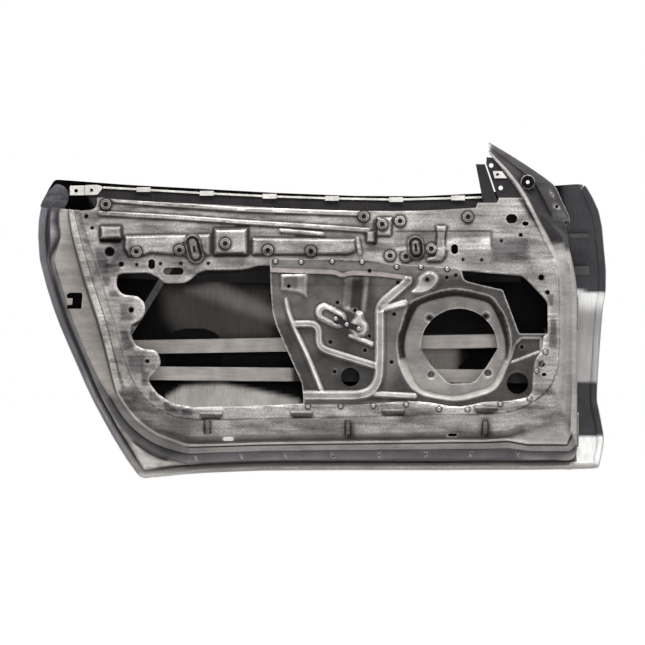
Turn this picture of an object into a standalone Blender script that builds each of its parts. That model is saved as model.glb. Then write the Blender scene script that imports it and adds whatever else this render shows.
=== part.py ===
"""Front left door shell of a long frameless coupe, without its hinges, latch and glass.

A die-cast aluminium inner frame, an outer skin hemmed round it, a pressed carrier riveted into the
opening for the window lift and the speaker, two impact beams and the belt reinforcement.
Sizes are millimetres. x runs forward, y outboard and z up, from the sill below the middle of the door.
The assembly is then hung from an empty, so that the origin lies on the upper hinge pad.
"""

import math

import bmesh
import bpy
from mathutils import Matrix, Vector
from mathutils.geometry import delaunay_2d_cdt

MM = 0.001
GAP = 0.3  # between two pieces that touch
SKIN_SEAT = 0.6  # between the curved skin and what rests on it

# Sheets and walls
CASTING_WALL = 3.0
SKIN_SHEET = 1.2
CARRIER_SHEET = 1.5
BRACKET_SHEET = 2.5
BELT_SHEET = 1.6

# Outer skin
SKIN_EDGE_DEPTH = 88.0
SKIN_BULGE = 42.0
SKIN_BULGE_HEIGHT = 330.0
SKIN_BULGE_REACH = 350.0
SKIN_SIDE_BULGE = 8.0
SKIN_SIDE_REACH = 690.0
HEM_WIDTH = 17.0
HEM_CLEARANCE = 1.5
HEM_ROOM = 6.5

# Inner frame
HINGE_FACE_X = 616.0
HINGE_FACE_START = 50.0
FRONT_LIP = 4.0
FRONT_SEAM = 2.0
HINGE_PAD_PROUD = 3.0
HINGE_PAD_HEIGHT = 84.0
HINGE_PAD_DEPTH = 52.0
HINGE_PAD_Y = 76.0
UPPER_HINGE_Z = 395.0
LOWER_HINGE_Z = 112.0
HINGE_BOLT_RADIUS = 5.0
HINGE_BOLT_SPREAD = 52.0
HARNESS_HOLE_RADIUS = 18.0
HARNESS_HOLE_Z = 182.0
CHECK_SLOT_Z = 283.0
CHECK_SLOT_SIZE = 24.0
BOSS_RADIUS = 13.0
BOSS_PROUD = 6.0
BOSS_BORE = 3.6
BOSS_LAND = 1.6  # the chamfer between a boss's top and its bore
RIB_SLOPE = 3.0
SEAL_FACE = 60.0  # the flat rear face, which the latch bolts to
FLAG_EDGE = 30.0
LIP_LENGTH = 54.0
LIP_HEIGHT = 11.0
LIP_PROUD = 9.0
STEM_WIDTH = 12.0
GROMMET_BOSS_RADIUS = 17.5
GROMMET_BORE = 11.0
GROMMET_SEAT = 5.0
GROMMET_WALL = 6.2
GROMMET_FLANGE = 2.5
GROMMET_FLANGE_RADIUS = 15.5
GROMMET_FAR = 22.0
PLUG_LENGTH = 26.0
PLUG_WIDTH = 11.0
PLUG_LAP = 2.0
PLUG_FLANGE = 2.0

# Carrier
JOGGLE_TOP = 480.0
JOGGLE_FOOT = 458.0
SPEAKER_RADIUS = 92.5
SPEAKER_RECESS = 26.0
SPEAKER_SLOPE = 14.0
CARRIER_BEAD = 6.0
PIN_HOLE_RADIUS = 3.4
LINK_SHEET = 3.0
LINK_HALF_WIDTH = 7.5

# Rivets
RIVET_RADIUS = 2.4
RIVET_HEAD_RADIUS = 4.8
RIVET_HEAD_HEIGHT = 1.8
RIVET_TAIL_HEIGHT = 3.0

# Impact beams
BEAM_HEIGHT = 34.0
BEAM_DEPTH = 24.0
BEAM_WALL = 2.5
BEAM_FACE = 96.0
BEAM_FRONT_X = 600.0
BRACKET_HEIGHT = 56.0
BRACKET_LENGTH = 74.0
BRACKET_INSET = 6.0
BRACKET_FOOT = 16.0
BRACKET_STEP = 18.0
FRONT_FOOT_START = 60.0

# Belt
BELT_HEIGHT = 680.0
BELT_ROOM = 33.2  # between the skin at the belt's height and the reinforcement's belt face
RAIL_PROUD = 2.8
RAIL_SHEET = 2.0
RAIL_LIP = 5.0
RAIL_SHELF = 2.4
CLIP_LENGTH = 34.0
CLIP_HEIGHT = 11.0
CLIP_SHEET = 2.0
CLIP_HOOK = 5.0
CLIP_RISE = 1.5
REINFORCEMENT_FLANGE = 16.0
REINFORCEMENT_STEP = 26.0
REINFORCEMENT_WEB = 40.0
REINFORCEMENT_RISE = 22.0
END_BRACKET_STEP = 6.0
END_BRACKET_HOLE = 4.6
END_BRACKET_SQUARE = 7.2

# Window guide, mirror plates and brace
GUIDE_DEPTH = 20.0
GUIDE_WIDTH = 16.0
GUIDE_SHEET = 2.0
MIRROR_SHEET = 2.0
MIRROR_HOLE = 5.4
STAY_FACE = 0.8
STAY_SHEET = 2.2
STAY_HOLE = 3.6
BRACE_WIDTH = 16.0
BRACE_FOOT = 34.0
BRACE_RAMP = 40.0
BRACE_RISE = 20.0

# Nut plates, skin brackets and pads
NUT_PLATE_SHEET = 4.0
NUT_PLATE_WIDTH = 42.0
NUT_PLATE_HEIGHT = 74.0
SKIN_BRACKET_FOOT = 60.0
SKIN_BRACKET_ARM = 94.5
PAD_THICKNESS = 5.0

CIRCLE_SIDES = 12
SKIN_GUIDE_STEP = 50.0


def remove_scene_objects():
    for existing in list(bpy.data.objects):
        bpy.data.objects.remove(existing, do_unlink=True)


remove_scene_objects()

door = bpy.data.collections.new("car_door_shell")
helpers = bpy.data.collections.new("cutters")
bpy.context.scene.collection.children.link(door)
bpy.context.scene.collection.children.link(helpers)

hinge_origin = bpy.data.objects.new("upper_hinge_datum", None)
hinge_origin.location = Vector((HINGE_FACE_X + HINGE_PAD_PROUD, HINGE_PAD_Y, UPPER_HINGE_Z)) * -MM
door.objects.link(hinge_origin)


def material(name, colour, metallic, roughness):
    made = bpy.data.materials.new(name)
    made.use_nodes = True
    shader = made.node_tree.nodes["Principled BSDF"]
    shader.inputs["Base Color"].default_value = (*colour, 1.0)
    shader.inputs["Metallic"].default_value = metallic
    shader.inputs["Roughness"].default_value = roughness
    return made


FINISHES = {
    "cast_aluminium": ((0.27, 0.26, 0.25), 0.75, 0.5),
    "skin_aluminium": ((0.42, 0.41, 0.39), 0.85, 0.4),
    "carrier_aluminium": ((0.16, 0.155, 0.16), 0.75, 0.42),
    "beam_aluminium": ((0.34, 0.31, 0.29), 0.8, 0.38),
    "rail_aluminium": ((0.6, 0.6, 0.58), 0.8, 0.3),
    "dark_coated_sheet": ((0.03, 0.028, 0.03), 0.3, 0.5),
    "black_rubber": ((0.012, 0.012, 0.012), 0.0, 0.8),
    "rivet_aluminium": ((0.5, 0.49, 0.47), 0.9, 0.3),
}


def add_node(name, mesh, finish):
    """An object in the door's collection, hung from the hinge datum, in its own material."""
    made = bpy.data.objects.new(name, mesh)
    made.data.materials.append(material(name + "_" + finish, *FINISHES[finish]))
    made.parent = hinge_origin
    door.objects.link(made)
    return made


def mesh_of(bm, name):
    bmesh.ops.recalc_face_normals(bm, faces=bm.faces[:])
    bmesh.ops.scale(bm, vec=(MM, MM, MM), verts=bm.verts[:])
    made = bpy.data.meshes.new(name)
    bm.to_mesh(made)
    bm.free()
    made.shade_smooth()
    made.set_sharp_from_angle(angle=math.radians(35))
    return made


# Plane geometry on (x, z) points


def circle(centre, radius, sides=CIRCLE_SIDES):
    turn = 2 * math.pi / sides
    return [
        (centre[0] + radius * math.cos(turn * (i + 0.5)), centre[1] + radius * math.sin(turn * (i + 0.5)))
        for i in range(sides)
    ]


def slot(centre, length, width, tilt=0.0, sides=12):
    """A round-ended slot, its length along x before it is tilted by degrees towards z."""
    half = (length - width) / 2
    c, s = math.cos(math.radians(tilt)), math.sin(math.radians(tilt))
    points = []
    for x, z in circle((0, 0), width / 2, sides):
        x += half if x > 0 else -half
        points.append((centre[0] + x * c - z * s, centre[1] + x * s + z * c))
    return points


def distance_to_line(point, line, closed=False):
    best = 1e9
    ends = list(zip(line, line[1:] + line[:1])) if closed else list(zip(line, line[1:]))
    for (ax, az), (bx, bz) in ends:
        dx, dz = bx - ax, bz - az
        along = ((point[0] - ax) * dx + (point[1] - az) * dz) / (dx * dx + dz * dz)
        along = min(1.0, max(0.0, along))
        best = min(best, math.hypot(point[0] - ax - along * dx, point[1] - az - along * dz))
    return best


def inside(point, polygon):
    found = False
    for (ax, az), (bx, bz) in zip(polygon, polygon[1:] + polygon[:1]):
        if (az > point[1]) != (bz > point[1]):
            if point[0] < (bx - ax) * (point[1] - az) / (bz - az) + ax:
                found = not found
    return found


def depth_inside(point, polygon):
    """How far the point lies inside the polygon, or a negative distance outside it."""
    far = distance_to_line(point, polygon, closed=True)
    return far if inside(point, polygon) else -far


def crossings(polygon, z):
    """Where the outline crosses a height, from the left to the right."""
    found = []
    for (ax, az), (bx, bz) in zip(polygon, polygon[1:] + polygon[:1]):
        if (az > z) != (bz > z):
            found.append((ax + (bx - ax) * (z - az) / (bz - az), z))
    return sorted(found)


def area(polygon):
    pairs = zip(polygon, polygon[1:] + polygon[:1])
    return sum(ax * bz - bx * az for (ax, az), (bx, bz) in pairs) / 2


def shifted(polygon, distance):
    """The polygon moved inwards by a distance, corner by corner."""
    turned = 1 if area(polygon) > 0 else -1
    count = len(polygon)
    moved = []
    for i in range(count):
        before, here, after = Vector(polygon[i - 1]), Vector(polygon[i]), Vector(polygon[(i + 1) % count])
        first, second = (here - before).normalized(), (after - here).normalized()
        bisector = Vector((-first.y - second.y, first.x + second.x))
        length = max(bisector.length_squared, 0.6) / 2
        moved.append(tuple(here + bisector * (turned * distance / length)))
    return moved


def band(line, half):
    """A closed outline round a line, at a distance of half its width, with pointed round ends."""
    left, right = [], []
    for i, here in enumerate(line):
        before = Vector(line[max(i - 1, 0)])
        after = Vector(line[min(i + 1, len(line) - 1)])
        along = (after - before).normalized()
        side = Vector((-along.y, along.x)) * half
        end = along * half * (-0.6 if i == 0 else 0.6 if i == len(line) - 1 else 0.0)
        left.append(tuple(Vector(here) + side + end))
        right.append(tuple(Vector(here) - side + end))
    return left + right[::-1]


def along_line(line, step):
    """The line with points added so that none are further apart than the step."""
    points = [line[0]]
    for (ax, az), (bx, bz) in zip(line, line[1:]):
        parts = max(1, math.ceil(math.hypot(bx - ax, bz - az) / step))
        points += [(ax + (bx - ax) * k / parts, az + (bz - az) * k / parts) for k in range(1, parts + 1)]
    return points


# Sheets: a front surface over the (x, z) plane, given a back and closed at its edges


def filled(outline, holes, guides):
    """Triangles over an outline with holes in it, whose edges follow the guide lines."""
    points, edges = [], []
    loops = [(outline, True)] + [(hole, True) for hole in holes] + guides
    for loop, closed in loops:
        first = len(points)
        points += [Vector(p) for p in loop]
        last = len(points) - 1
        edges += [(k, k + 1) for k in range(first, last)]
        if closed:
            edges.append((last, first))
    flat, _, faces, origins, _, _ = delaunay_2d_cdt(points, edges, [], 0, 1e-3)
    kept = []
    for face in faces:
        middle = sum((flat[v] for v in face), Vector((0, 0))) / len(face)
        if inside(middle, outline) and not any(inside(middle, hole) for hole in holes):
            kept.append(face)
    return [tuple(p) for p in flat], kept, origins


def closed_sheet(front, back, faces):
    """A bmesh with the front points, extruded to the back points."""
    bm = bmesh.new()
    number = bm.verts.layers.int.new("number")
    verts = []
    for index, point in enumerate(front):
        vert = bm.verts.new(point)
        vert[number] = index
        verts.append(vert)
    for face in faces:
        bm.faces.new([verts[v] for v in face])
    bmesh.ops.delete(bm, geom=[v for v in bm.verts if not v.link_faces], context="VERTS")
    grown = bmesh.ops.extrude_face_region(bm, geom=bm.faces[:])
    for vert in [item for item in grown["geom"] if isinstance(item, bmesh.types.BMVert)]:
        vert.co = back[vert[number]]
    return bm


def between(outline, holes, guides, near, far):
    """A solid over an outline, from the depth near(x, z) to the depth far(x, z)."""
    flat, faces, _ = filled(outline, holes, guides)
    front = [(x, near(x, z), z) for x, z in flat]
    back = [(x, far(x, z), z) for x, z in flat]
    return closed_sheet(front, back, faces)


def split(points, quad):
    """Two triangles of a quad, cut along its shorter diagonal."""
    a, b, c, d = quad
    if (points[a] - points[c]).length < (points[b] - points[d]).length:
        return [[a, b, c], [a, c, d]]
    return [[a, b, d], [b, c, d]]


def plate(outline, holes, depth, thickness):
    """A flat sheet with holes, its near face at the depth."""
    return between(outline, holes, [], lambda x, z: depth, lambda x, z: depth + thickness)


def prism(points, axis, start, end):
    """A solid from a closed outline in the plane across an axis, between two places on it."""
    bm = bmesh.new()
    verts = []
    for a, b in points:
        place = {"x": (start, a, b), "y": (a, start, b), "z": (a, b, start)}[axis]
        verts.append(bm.verts.new(place))
    face = bm.faces.new(verts)
    grown = bmesh.ops.extrude_face_region(bm, geom=[face])
    move = {"x": (end - start, 0, 0), "y": (0, end - start, 0), "z": (0, 0, end - start)}[axis]
    moved = [item for item in grown["geom"] if isinstance(item, bmesh.types.BMVert)]
    bmesh.ops.translate(bm, vec=move, verts=moved)
    return bm


def turned_along_y(centre, profile, sides=CIRCLE_SIDES):
    """A solid of revolution about a line along y, from (radius, y) pairs that start and end on it."""
    bm = bmesh.new()
    verts = [bm.verts.new((radius, y, 0)) for radius, y in profile]
    edges = [bm.edges.new(pair) for pair in zip(verts, verts[1:])]
    bmesh.ops.spin(bm, geom=verts + edges, axis=(0, 1, 0), cent=(0, 0, 0), steps=sides,
                   angle=2 * math.pi, use_merge=True)
    bmesh.ops.remove_doubles(bm, verts=bm.verts[:], dist=1e-3)
    bmesh.ops.translate(bm, vec=(centre[0], 0, centre[1]), verts=bm.verts[:])
    return bm


def cutter(bm, name):
    made = bpy.data.objects.new(name, mesh_of(bm, name))
    made.parent = hinge_origin
    made.hide_render = True
    made.display_type = "WIRE"
    return made


def combine(piece, operation, meshes, name):
    """A Boolean of the piece with several shapes at once."""
    group = bpy.data.collections.new(name)
    helpers.children.link(group)
    for index, bm in enumerate(meshes):
        group.objects.link(cutter(bm, f"{name}_{index}"))
    boolean = piece.modifiers.new(name, "BOOLEAN")
    boolean.operation = operation
    boolean.operand_type = "COLLECTION"
    boolean.collection = group
    boolean.solver = "EXACT"


# Depths across the door


def skin_depth(x, z):
    """The inner face of the outer skin."""
    up = (z - SKIN_BULGE_HEIGHT) / SKIN_BULGE_REACH
    along = x / SKIN_SIDE_REACH
    return SKIN_EDGE_DEPTH + SKIN_BULGE * (1 - up * up) + SKIN_SIDE_BULGE * (1 - along * along)


def hem_depth(x, z):
    """The inner face of the frame's flange, which the skin is folded round."""
    return skin_depth(x, z) - SKIN_SEAT - CASTING_WALL


BELT_FACE = skin_depth(0.0, BELT_HEIGHT) - BELT_ROOM
RAIL_FACE = BELT_FACE - RAIL_PROUD


# Outlines of the frame: each station joins the plate's edge to the outer edge

STATIONS = [
    ((-583, 639), (-684, 655), "rear top"),
    ((-574, 606), (-691, 618), "rear top"),
    ((-564, 575), (-693, 579), "rear top"),
    ((-545, 516), (-690, 524), "rear"),
    ((-528, 462), (-675, 462), "rear"),
    ((-512, 413), (-659, 410), "rear"),
    ((-500, 375), (-643, 366), "rear"),
    ((-488, 330), (-622, 316), "rear"),
    ((-475, 284), (-598, 262), "rear"),
    ((-463, 248), (-578, 216), "rear"),
    ((-448, 220), (-558, 175), "corner"),
    ((-432, 197), (-535, 133), "corner"),
    ((-415, 179), (-508, 86), "corner"),
    ((-398, 166), (-474, 33), "corner"),
    ((-379, 155), (-442, -8), "corner"),
    ((-352, 145), (-398, -5), "corner"),
    ((-312, 139), (-336, 1), "sill"),
    ((-269, 137), (-276, 5), "sill"),
    ((-141, 140), (-143, 10), "sill"),
    ((42, 144), (42, 11), "sill"),
    ((140, 146), (142, 11), "sill"),
    ((294, 150), (300, 11), "sill"),
    ((378, 150), (388, 12), "sill"),
    ((438, 155), (455, 12), "sill"),
    ((474, 164), (510, 12), "front corner"),
    ((505, 181), (565, 13), "front corner"),
    ((534, 203), (HINGE_FACE_X, 14), "front corner"),
    ((550, 225), (HINGE_FACE_X, 66), "front"),
    ((560, 248), (HINGE_FACE_X, 114), "front"),
    ((566, 268), (HINGE_FACE_X, 165), "front"),
    ((568, 317), (HINGE_FACE_X, 250), "front"),
    ((568, 370), (HINGE_FACE_X, 340), "front"),
    ((568, 425), (HINGE_FACE_X, 440), "front"),
    ((567, 473), (612, 480), "front"),
    ((562, 503), (606, 512), "front"),
    ((548, 536), (598, 548), "front top"),
    ((529, 570), (594, 582), "front top"),
    ((501, 627), (596, 622), "flag"),
    ((479, 670), (578, 662), "flag"),
    ((457, 704), (558, 702), "flag"),
    ((432, 738), (517, 733), "flag"),
    ((410, 764), (462, 769), "flag"),
    ((401, 776), (402, 805), "flag tip"),
]

# Share of the way out, and depth, of each line between the plate's edge and the hem flange
WALL_ROWS = {
    "rear top": [(0.17, 24), (0.30, 30), (0.35, 54), (0.61, SEAL_FACE), (0.82, 74)],
    "rear": [(0.17, 24), (0.29, 30), (0.36, SEAL_FACE), (0.72, SEAL_FACE), (0.88, 112)],
    "corner": [(0.25, 24), (0.40, 30), (0.56, 42), (0.72, SEAL_FACE), (0.84, 92)],
    "sill": [(0.31, 22), (0.49, 30), (0.64, 36), (0.80, 70), (0.86, 86)],
    "front corner": [(0.25, 22), (0.42, 30), (0.60, 38), (0.80, 62), (0.90, 84)],
    "front": [(0.30, 20), (0.66, 34), (0.76, 36), (1.0, HINGE_FACE_START), (1.0, 80)],
    "front top": [(0.25, 16), (0.55, 26), (0.75, 32), (0.96, 44), (1.0, 58)],
    "flag": [(0.14, 0), (0.24, 10), (0.42, 20), (0.66, 24), (0.86, 26)],
    "flag tip": [(0.2, 0), (0.36, 6), (0.52, 12), (0.70, 18), (0.86, 24)],
}

BELT_EDGE = [
    (-555, 641), (-545, 646), (-541, 656), (-541, 670), (-532, 671), (-491, 666), (-400, 660),
    (-294, 655), (-198, 651), (-109, 645), (0, 641), (76, 639), (160, 638), (234, 639), (300, 642),
    (368, 646), (373, 658), (419, 658), (424, 670),
]

OPENING = [
    (-494, 462), (-494, 476), (-490, 485), (-481, 489), (-418, 490), (-397, 481), (-386, 470),
    (-375, 465), (-333, 465), (-320, 471), (-300, 489), (-281, 496), (-198, 497), (-174, 501),
    (-157, 507), (-114, 508), (100, 504), (160, 491), (290, 486), (339, 494), (402, 489),
    (476, 483), (487, 476), (536, 425), (540, 415), (541, 346), (530, 337), (527, 304), (510, 281),
    (506, 262), (503, 202), (489, 190), (449, 183), (388, 180), (337, 169), (304, 170), (264, 178),
    (213, 183), (126, 177), (-44, 176), (-205, 169), (-312, 168), (-359, 176), (-396, 200),
    (-416, 227), (-415, 239), (-393, 260), (-388, 274), (-392, 292), (-403, 305), (-430, 307),
    (-450, 318), (-462, 348), (-457, 366), (-436, 378), (-425, 396), (-427, 418), (-444, 434),
    (-478, 437), (-491, 450),
]

# Round holes of the frame: place and radius
FRAME_HOLES = [
    ((-567, 626), 4), ((-553, 598), 3.4), ((-511, 541), 11), ((-483, 511), 5.5), ((-446, 510), 3),
    ((-389, 512), 3.2), ((-340, 513), 3.2), ((-274, 513), 3.4), ((337, 522), 3.2), ((382, 521), 3.2),
    ((476, 581), 4), ((429, 567), 3.6), ((525, 479), 6.5), ((540, 443), 4.8), ((526, 271), 6.5),
    ((-459, 401), 6), ((-420, 278), 4),
]
FRAME_SLOTS = [
    ((-410, 511), 24, 16.8, 90), ((-358, 494), 49, 18, 0), ((317, 547), 24, 16.8, 90),
    ((454, 620), 27.4, 22.8, 0), ((487, 608), 15, 10.6, 0), ((532, 246), 12, 8.4, 0),
]

# Raised pads and the long pocket of the belt: outline, height towards the cabin, width of the slope
BELT_RELIEF = [
    ([(-475, 580), (-336, 583), (-268, 584), (-268, 532), (-330, 530), (-392, 536), (-412, 537),
      (-444, 526), (-466, 530), (-477, 548)], 6, 6),
    ([(-262, 597), (-178, 599), (-178, 532), (-262, 532)], 12, 8),
    ([(-170, 575), (80, 573), (80, 540), (60, 534), (-170, 533)], 6, 6),
    ([(-534, 603), (-482, 603), (-481, 572), (-534, 570)], 10, 7),
    ([(130, 624), (168, 624), (166, 578), (130, 578)], 5, 5),
    ([(176, 590), (403, 590), (405, 552), (176, 549)], -9, 8),
]
BELT_RIBS = [
    ([(-500, 664), (-198, 642), (85, 632)], 3.0, 3.5),
    ([(-534, 633), (-198, 612), (12, 599), (110, 592)], 3.0, 3.5),
]

BOSSES = [
    (-520, 654), (-446, 540), (-343, 544), (-233, 560), (-131, 544), (-28, 542), (99, 625),
    (143, 606), (186, 614), (349, 624), (261, 548), (162, 531), (200, 529),
]
OVAL_BOSSES = [((-308, 548), 62, 36, 105, 17), ((224, 552), 52, 36, 96, 20)]

# Rivets: place, and whether the carrier lies in front of the frame there
TOP_RIVETS = [(-113, 517), (-51, 516), (23, 517), (95, 516), (178, 504), (236, 504), (299, 499)]
EDGE_RIVETS = [
    (-35, 169), (44, 170), (122, 171), (201, 174), (280, 163), (348, 162), (427, 175), (497, 188),
    (514, 255), (535, 300),
]


def relief_depth(point, reliefs, ribs):
    """Depth of the plate's face: raised forms come towards the cabin, so their depth is negative."""
    depth = 0.0
    for outline, height, slope in reliefs:
        share = min(1.0, max(0.0, depth_inside(point, outline) / slope))
        if abs(height * share) > abs(depth):
            depth = -height * share
    for line, half, height in ribs:
        share = min(1.0, max(0.0, (half + RIB_SLOPE - distance_to_line(point, line)) / RIB_SLOPE))
        if share > 0 and height * share > -depth:
            depth = -height * share
    return depth


def relief_guides(reliefs, ribs):
    guides = []
    for outline, _, slope in reliefs:
        guides.append((outline, True))
        guides.append((shifted(outline, slope), True))
    for line, half, _ in ribs:
        guides.append((band(line, half), True))
        guides.append((band(line, half + RIB_SLOPE), True))
    return guides


def edge_skew(index):
    """How much longer a distance is along a station than square to the outer edge there."""
    last = len(STATIONS) - 1
    start, end = Vector(STATIONS[index][0]), Vector(STATIONS[index][1])
    out = (end - start).normalized()
    skews = []
    for a, b in ((max(index - 1, 0), index), (index, min(index + 1, last))):
        if a != b:
            edge = (Vector(STATIONS[b][1]) - Vector(STATIONS[a][1])).normalized()
            skews.append(1 / max(abs(out.cross(edge)), 0.35))
    return max(skews)


def wall_section(index):
    """The frame's wall at one station, from the plate's edge to the hem flange, as (x, y, z)."""
    start, end, zone = STATIONS[index]
    reach = Vector(end) - Vector(start)
    flag = zone in ("flag", "flag tip")
    hemmed = zone in ("rear top", "rear", "corner", "sill", "front corner")
    edge = FLAG_EDGE if flag else skin_depth(*end) - FRONT_SEAM
    outer = 1.0
    lines = [(0.0, 0.0)] + list(WALL_ROWS[zone])
    if hemmed:
        skew = edge_skew(index) / reach.length
        outer = 1.0 - (HEM_CLEARANCE + SKIN_SHEET + GAP) * skew
        inner = min(lines[-1][0], 1.0 - (HEM_WIDTH + HEM_ROOM) * skew)
        lines[-1] = (inner, hem_depth(*(Vector(start) + reach * inner)))
        edge = hem_depth(*(Vector(start) + reach * outer))
    elif not flag:
        edge -= CASTING_WALL
        lines[-1] = (1.0, edge)
        outer = 1.0 + FRONT_LIP / reach.length
    lines.append((outer, edge))
    section = []
    for share, depth in lines:
        x, z = Vector(start) + reach * share
        section.append(Vector((x, depth, z)))
    return section


def backed(section, thickness, skew):
    """The far side of a wall section: each point moved across the wall, with mitred corners."""
    start, end = section[0], section[-1]
    out = Vector((end.x - start.x, 0, end.z - start.z)).normalized()
    flat = [(out.dot(point - start), point.y) for point in section]
    moved = []
    for i, (r, y) in enumerate(flat):
        if i == 0:
            moved.append((r, y + thickness))
            continue
        before = Vector((r - flat[i - 1][0], y - flat[i - 1][1])).normalized()
        if i < len(flat) - 1:
            after = Vector((flat[i + 1][0] - r, flat[i + 1][1] - y)).normalized()
        else:
            after = before
        normal = Vector((-before.y - after.y, before.x + after.x))
        moved.append(tuple(Vector((r, y)) + normal * (2 * thickness / max(normal.length_squared, 1.2))))
    result = []
    for (r, y), (old_r, _), point in zip(moved, flat, section):
        moved_out = out * (r - old_r) * skew
        result.append(Vector((point.x + moved_out.x, y, point.z + moved_out.z)))
    return result


def build_inner_frame():
    sections = [wall_section(index) for index in range(len(STATIONS))]
    backs = [backed(section, CASTING_WALL, edge_skew(index)) for index, section in enumerate(sections)]
    edge = [(section[0].x, section[0].z) for section in sections]
    # the plate's edge runs up the flag as a free edge, so the plate stops at the belt
    top = next(i for i, point in enumerate(edge) if point[1] > BELT_EDGE[-1][1] - 1)
    plate_outline = edge[: top + 1] + BELT_EDGE[::-1]
    holes = [OPENING] + [circle(place, radius) for place, radius in FRAME_HOLES]
    holes += [slot(*values) for values in FRAME_SLOTS]
    holes += [circle(place, RIVET_RADIUS + GAP, 8) for place in TOP_RIVETS + EDGE_RIVETS]
    reliefs = BELT_RELIEF + [(slot(place, length, width, tilt, 16), 8, 7)
                             for place, length, width, tilt, _ in OVAL_BOSSES]
    holes += [slot(place, opening, 5, tilt) for place, _, _, tilt, opening in OVAL_BOSSES]
    flat, faces, origins = filled(plate_outline, holes, relief_guides(reliefs, BELT_RIBS))
    front = [Vector((x, relief_depth((x, z), reliefs, BELT_RIBS), z)) for x, z in flat]
    back = [Vector((p.x, p.y + CASTING_WALL, p.z)) for p in front]
    number = {}
    for index, found in enumerate(origins):
        for origin in found:
            if origin <= top:
                number[origin, 0] = index
    for i, section in enumerate(sections):
        for row, point in enumerate(section):
            if (i, row) in number:
                front[number[i, row]] = point
                back[number[i, row]] = backs[i][row]
                continue
            number[i, row] = len(front)
            front.append(point)
            back.append(backs[i][row])
    rows = len(sections[0])
    for i in range(len(sections) - 1):
        for row in range(rows - 1):
            quad = [number[i, row], number[i, row + 1], number[i + 1, row + 1], number[i + 1, row]]
            faces += split(front, quad)
    bm = closed_sheet(front, back, faces)
    bmesh.ops.triangulate(bm, faces=bm.faces[:])
    frame = add_node("inner_frame", mesh_of(bm, "inner_frame"), "cast_aluminium")
    combine(frame, "UNION", frame_additions(reliefs), "frame_additions")
    combine(frame, "DIFFERENCE", frame_cuts(), "frame_cuts")


def boss(place, base):
    """A round boss with a blind bore, its foot sunk into the face at the base depth."""
    foot, top = base + 0.6 * CASTING_WALL, base - BOSS_PROUD
    profile = [(0, foot), (BOSS_RADIUS, foot), (BOSS_RADIUS - BOSS_LAND / 2, top),
               (BOSS_BORE + BOSS_LAND, top), (BOSS_BORE, top + BOSS_LAND), (BOSS_BORE, base - 1.0),
               (0, base - 1.0)]
    return turned_along_y(place, profile)


SILL_LIPS = [(-267, 149), (-50, 152.5), (170, 157), (392, 163)]
SILL_STEMS = [-276, 61, 391]
GROMMET_PLACE = (493, 708)
PLUG_PLACE = (-227, 91)
DRAIN_PLACE = (313, 100)
FLAG_HOLES = [((553, 679), 2.4), ((564, 650), 4.4), ((587, 612), 4.4)]
LATCH_OPENING = [(-618, 404), (-618, 438), (-612, 443), (-584, 443), (-584, 404)]


def box_points(middle, width, height):
    a, b = middle
    return [(a - width / 2, b - height / 2), (a + width / 2, b - height / 2),
            (a + width / 2, b + height / 2), (a - width / 2, b + height / 2)]


def frame_additions(reliefs):
    shapes = [boss(place, relief_depth(place, reliefs, BELT_RIBS)) for place in BOSSES]
    for x, z in SILL_LIPS:
        lip = [(x - LIP_LENGTH / 2, z + LIP_HEIGHT / 2), (x - 0.36 * LIP_LENGTH, z - LIP_HEIGHT / 2),
               (x + 0.36 * LIP_LENGTH, z - LIP_HEIGHT / 2), (x + LIP_LENGTH / 2, z + LIP_HEIGHT / 2)]
        shapes.append(prism(lip, "y", -LIP_PROUD, CASTING_WALL / 2))
    for x in SILL_STEMS:
        side = [(0.5, 137), (-4, 131), (16, 100), (24, 100), (8, 137)]
        shapes.append(prism(side, "x", x - STEM_WIDTH / 2, x + STEM_WIDTH / 2))
    for z in (UPPER_HINGE_Z, LOWER_HINGE_Z):
        pad = box_points((HINGE_PAD_Y, z), HINGE_PAD_DEPTH, HINGE_PAD_HEIGHT)
        shapes.append(prism(pad, "x", HINGE_FACE_X - CASTING_WALL / 2, HINGE_FACE_X + HINGE_PAD_PROUD))
    shapes.append(prism(circle(GROMMET_PLACE, GROMMET_BOSS_RADIUS, 16), "y", GROMMET_SEAT, 20))
    return shapes


def frame_cuts():
    """Bolt, harness and check-strap holes of the hinge face, the latch opening and the sill's ovals."""
    past = (HINGE_FACE_X - 4 * CASTING_WALL, HINGE_FACE_X + 2 * HINGE_PAD_PROUD)
    shapes = []
    for z in (UPPER_HINGE_Z, LOWER_HINGE_Z):
        for side in (-0.5, 0.5):
            bolt = circle((HINGE_PAD_Y, z + side * HINGE_BOLT_SPREAD), HINGE_BOLT_RADIUS, 10)
            shapes.append(prism(bolt, "x", *past))
    shapes.append(prism(circle((HINGE_PAD_Y, HARNESS_HOLE_Z), HARNESS_HOLE_RADIUS, 16), "x", *past))
    check = box_points((HINGE_PAD_Y, CHECK_SLOT_Z), CHECK_SLOT_SIZE, CHECK_SLOT_SIZE)
    shapes.append(prism(check, "x", *past))
    shapes.append(prism(circle(GROMMET_PLACE, GROMMET_BORE, 16), "y", 0, 40))
    shapes.append(prism(LATCH_OPENING, "y", 40, 80))
    for place in (PLUG_PLACE, DRAIN_PLACE):
        shapes.append(prism(slot(place, PLUG_LENGTH - 2 * PLUG_LAP, PLUG_WIDTH - 2 * PLUG_LAP), "y", 10, 45))
    for place, radius in FLAG_HOLES:
        shapes.append(prism(circle(place, radius, 8), "y", 10, 40))
    return shapes


build_inner_frame()


# Outer skin

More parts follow.
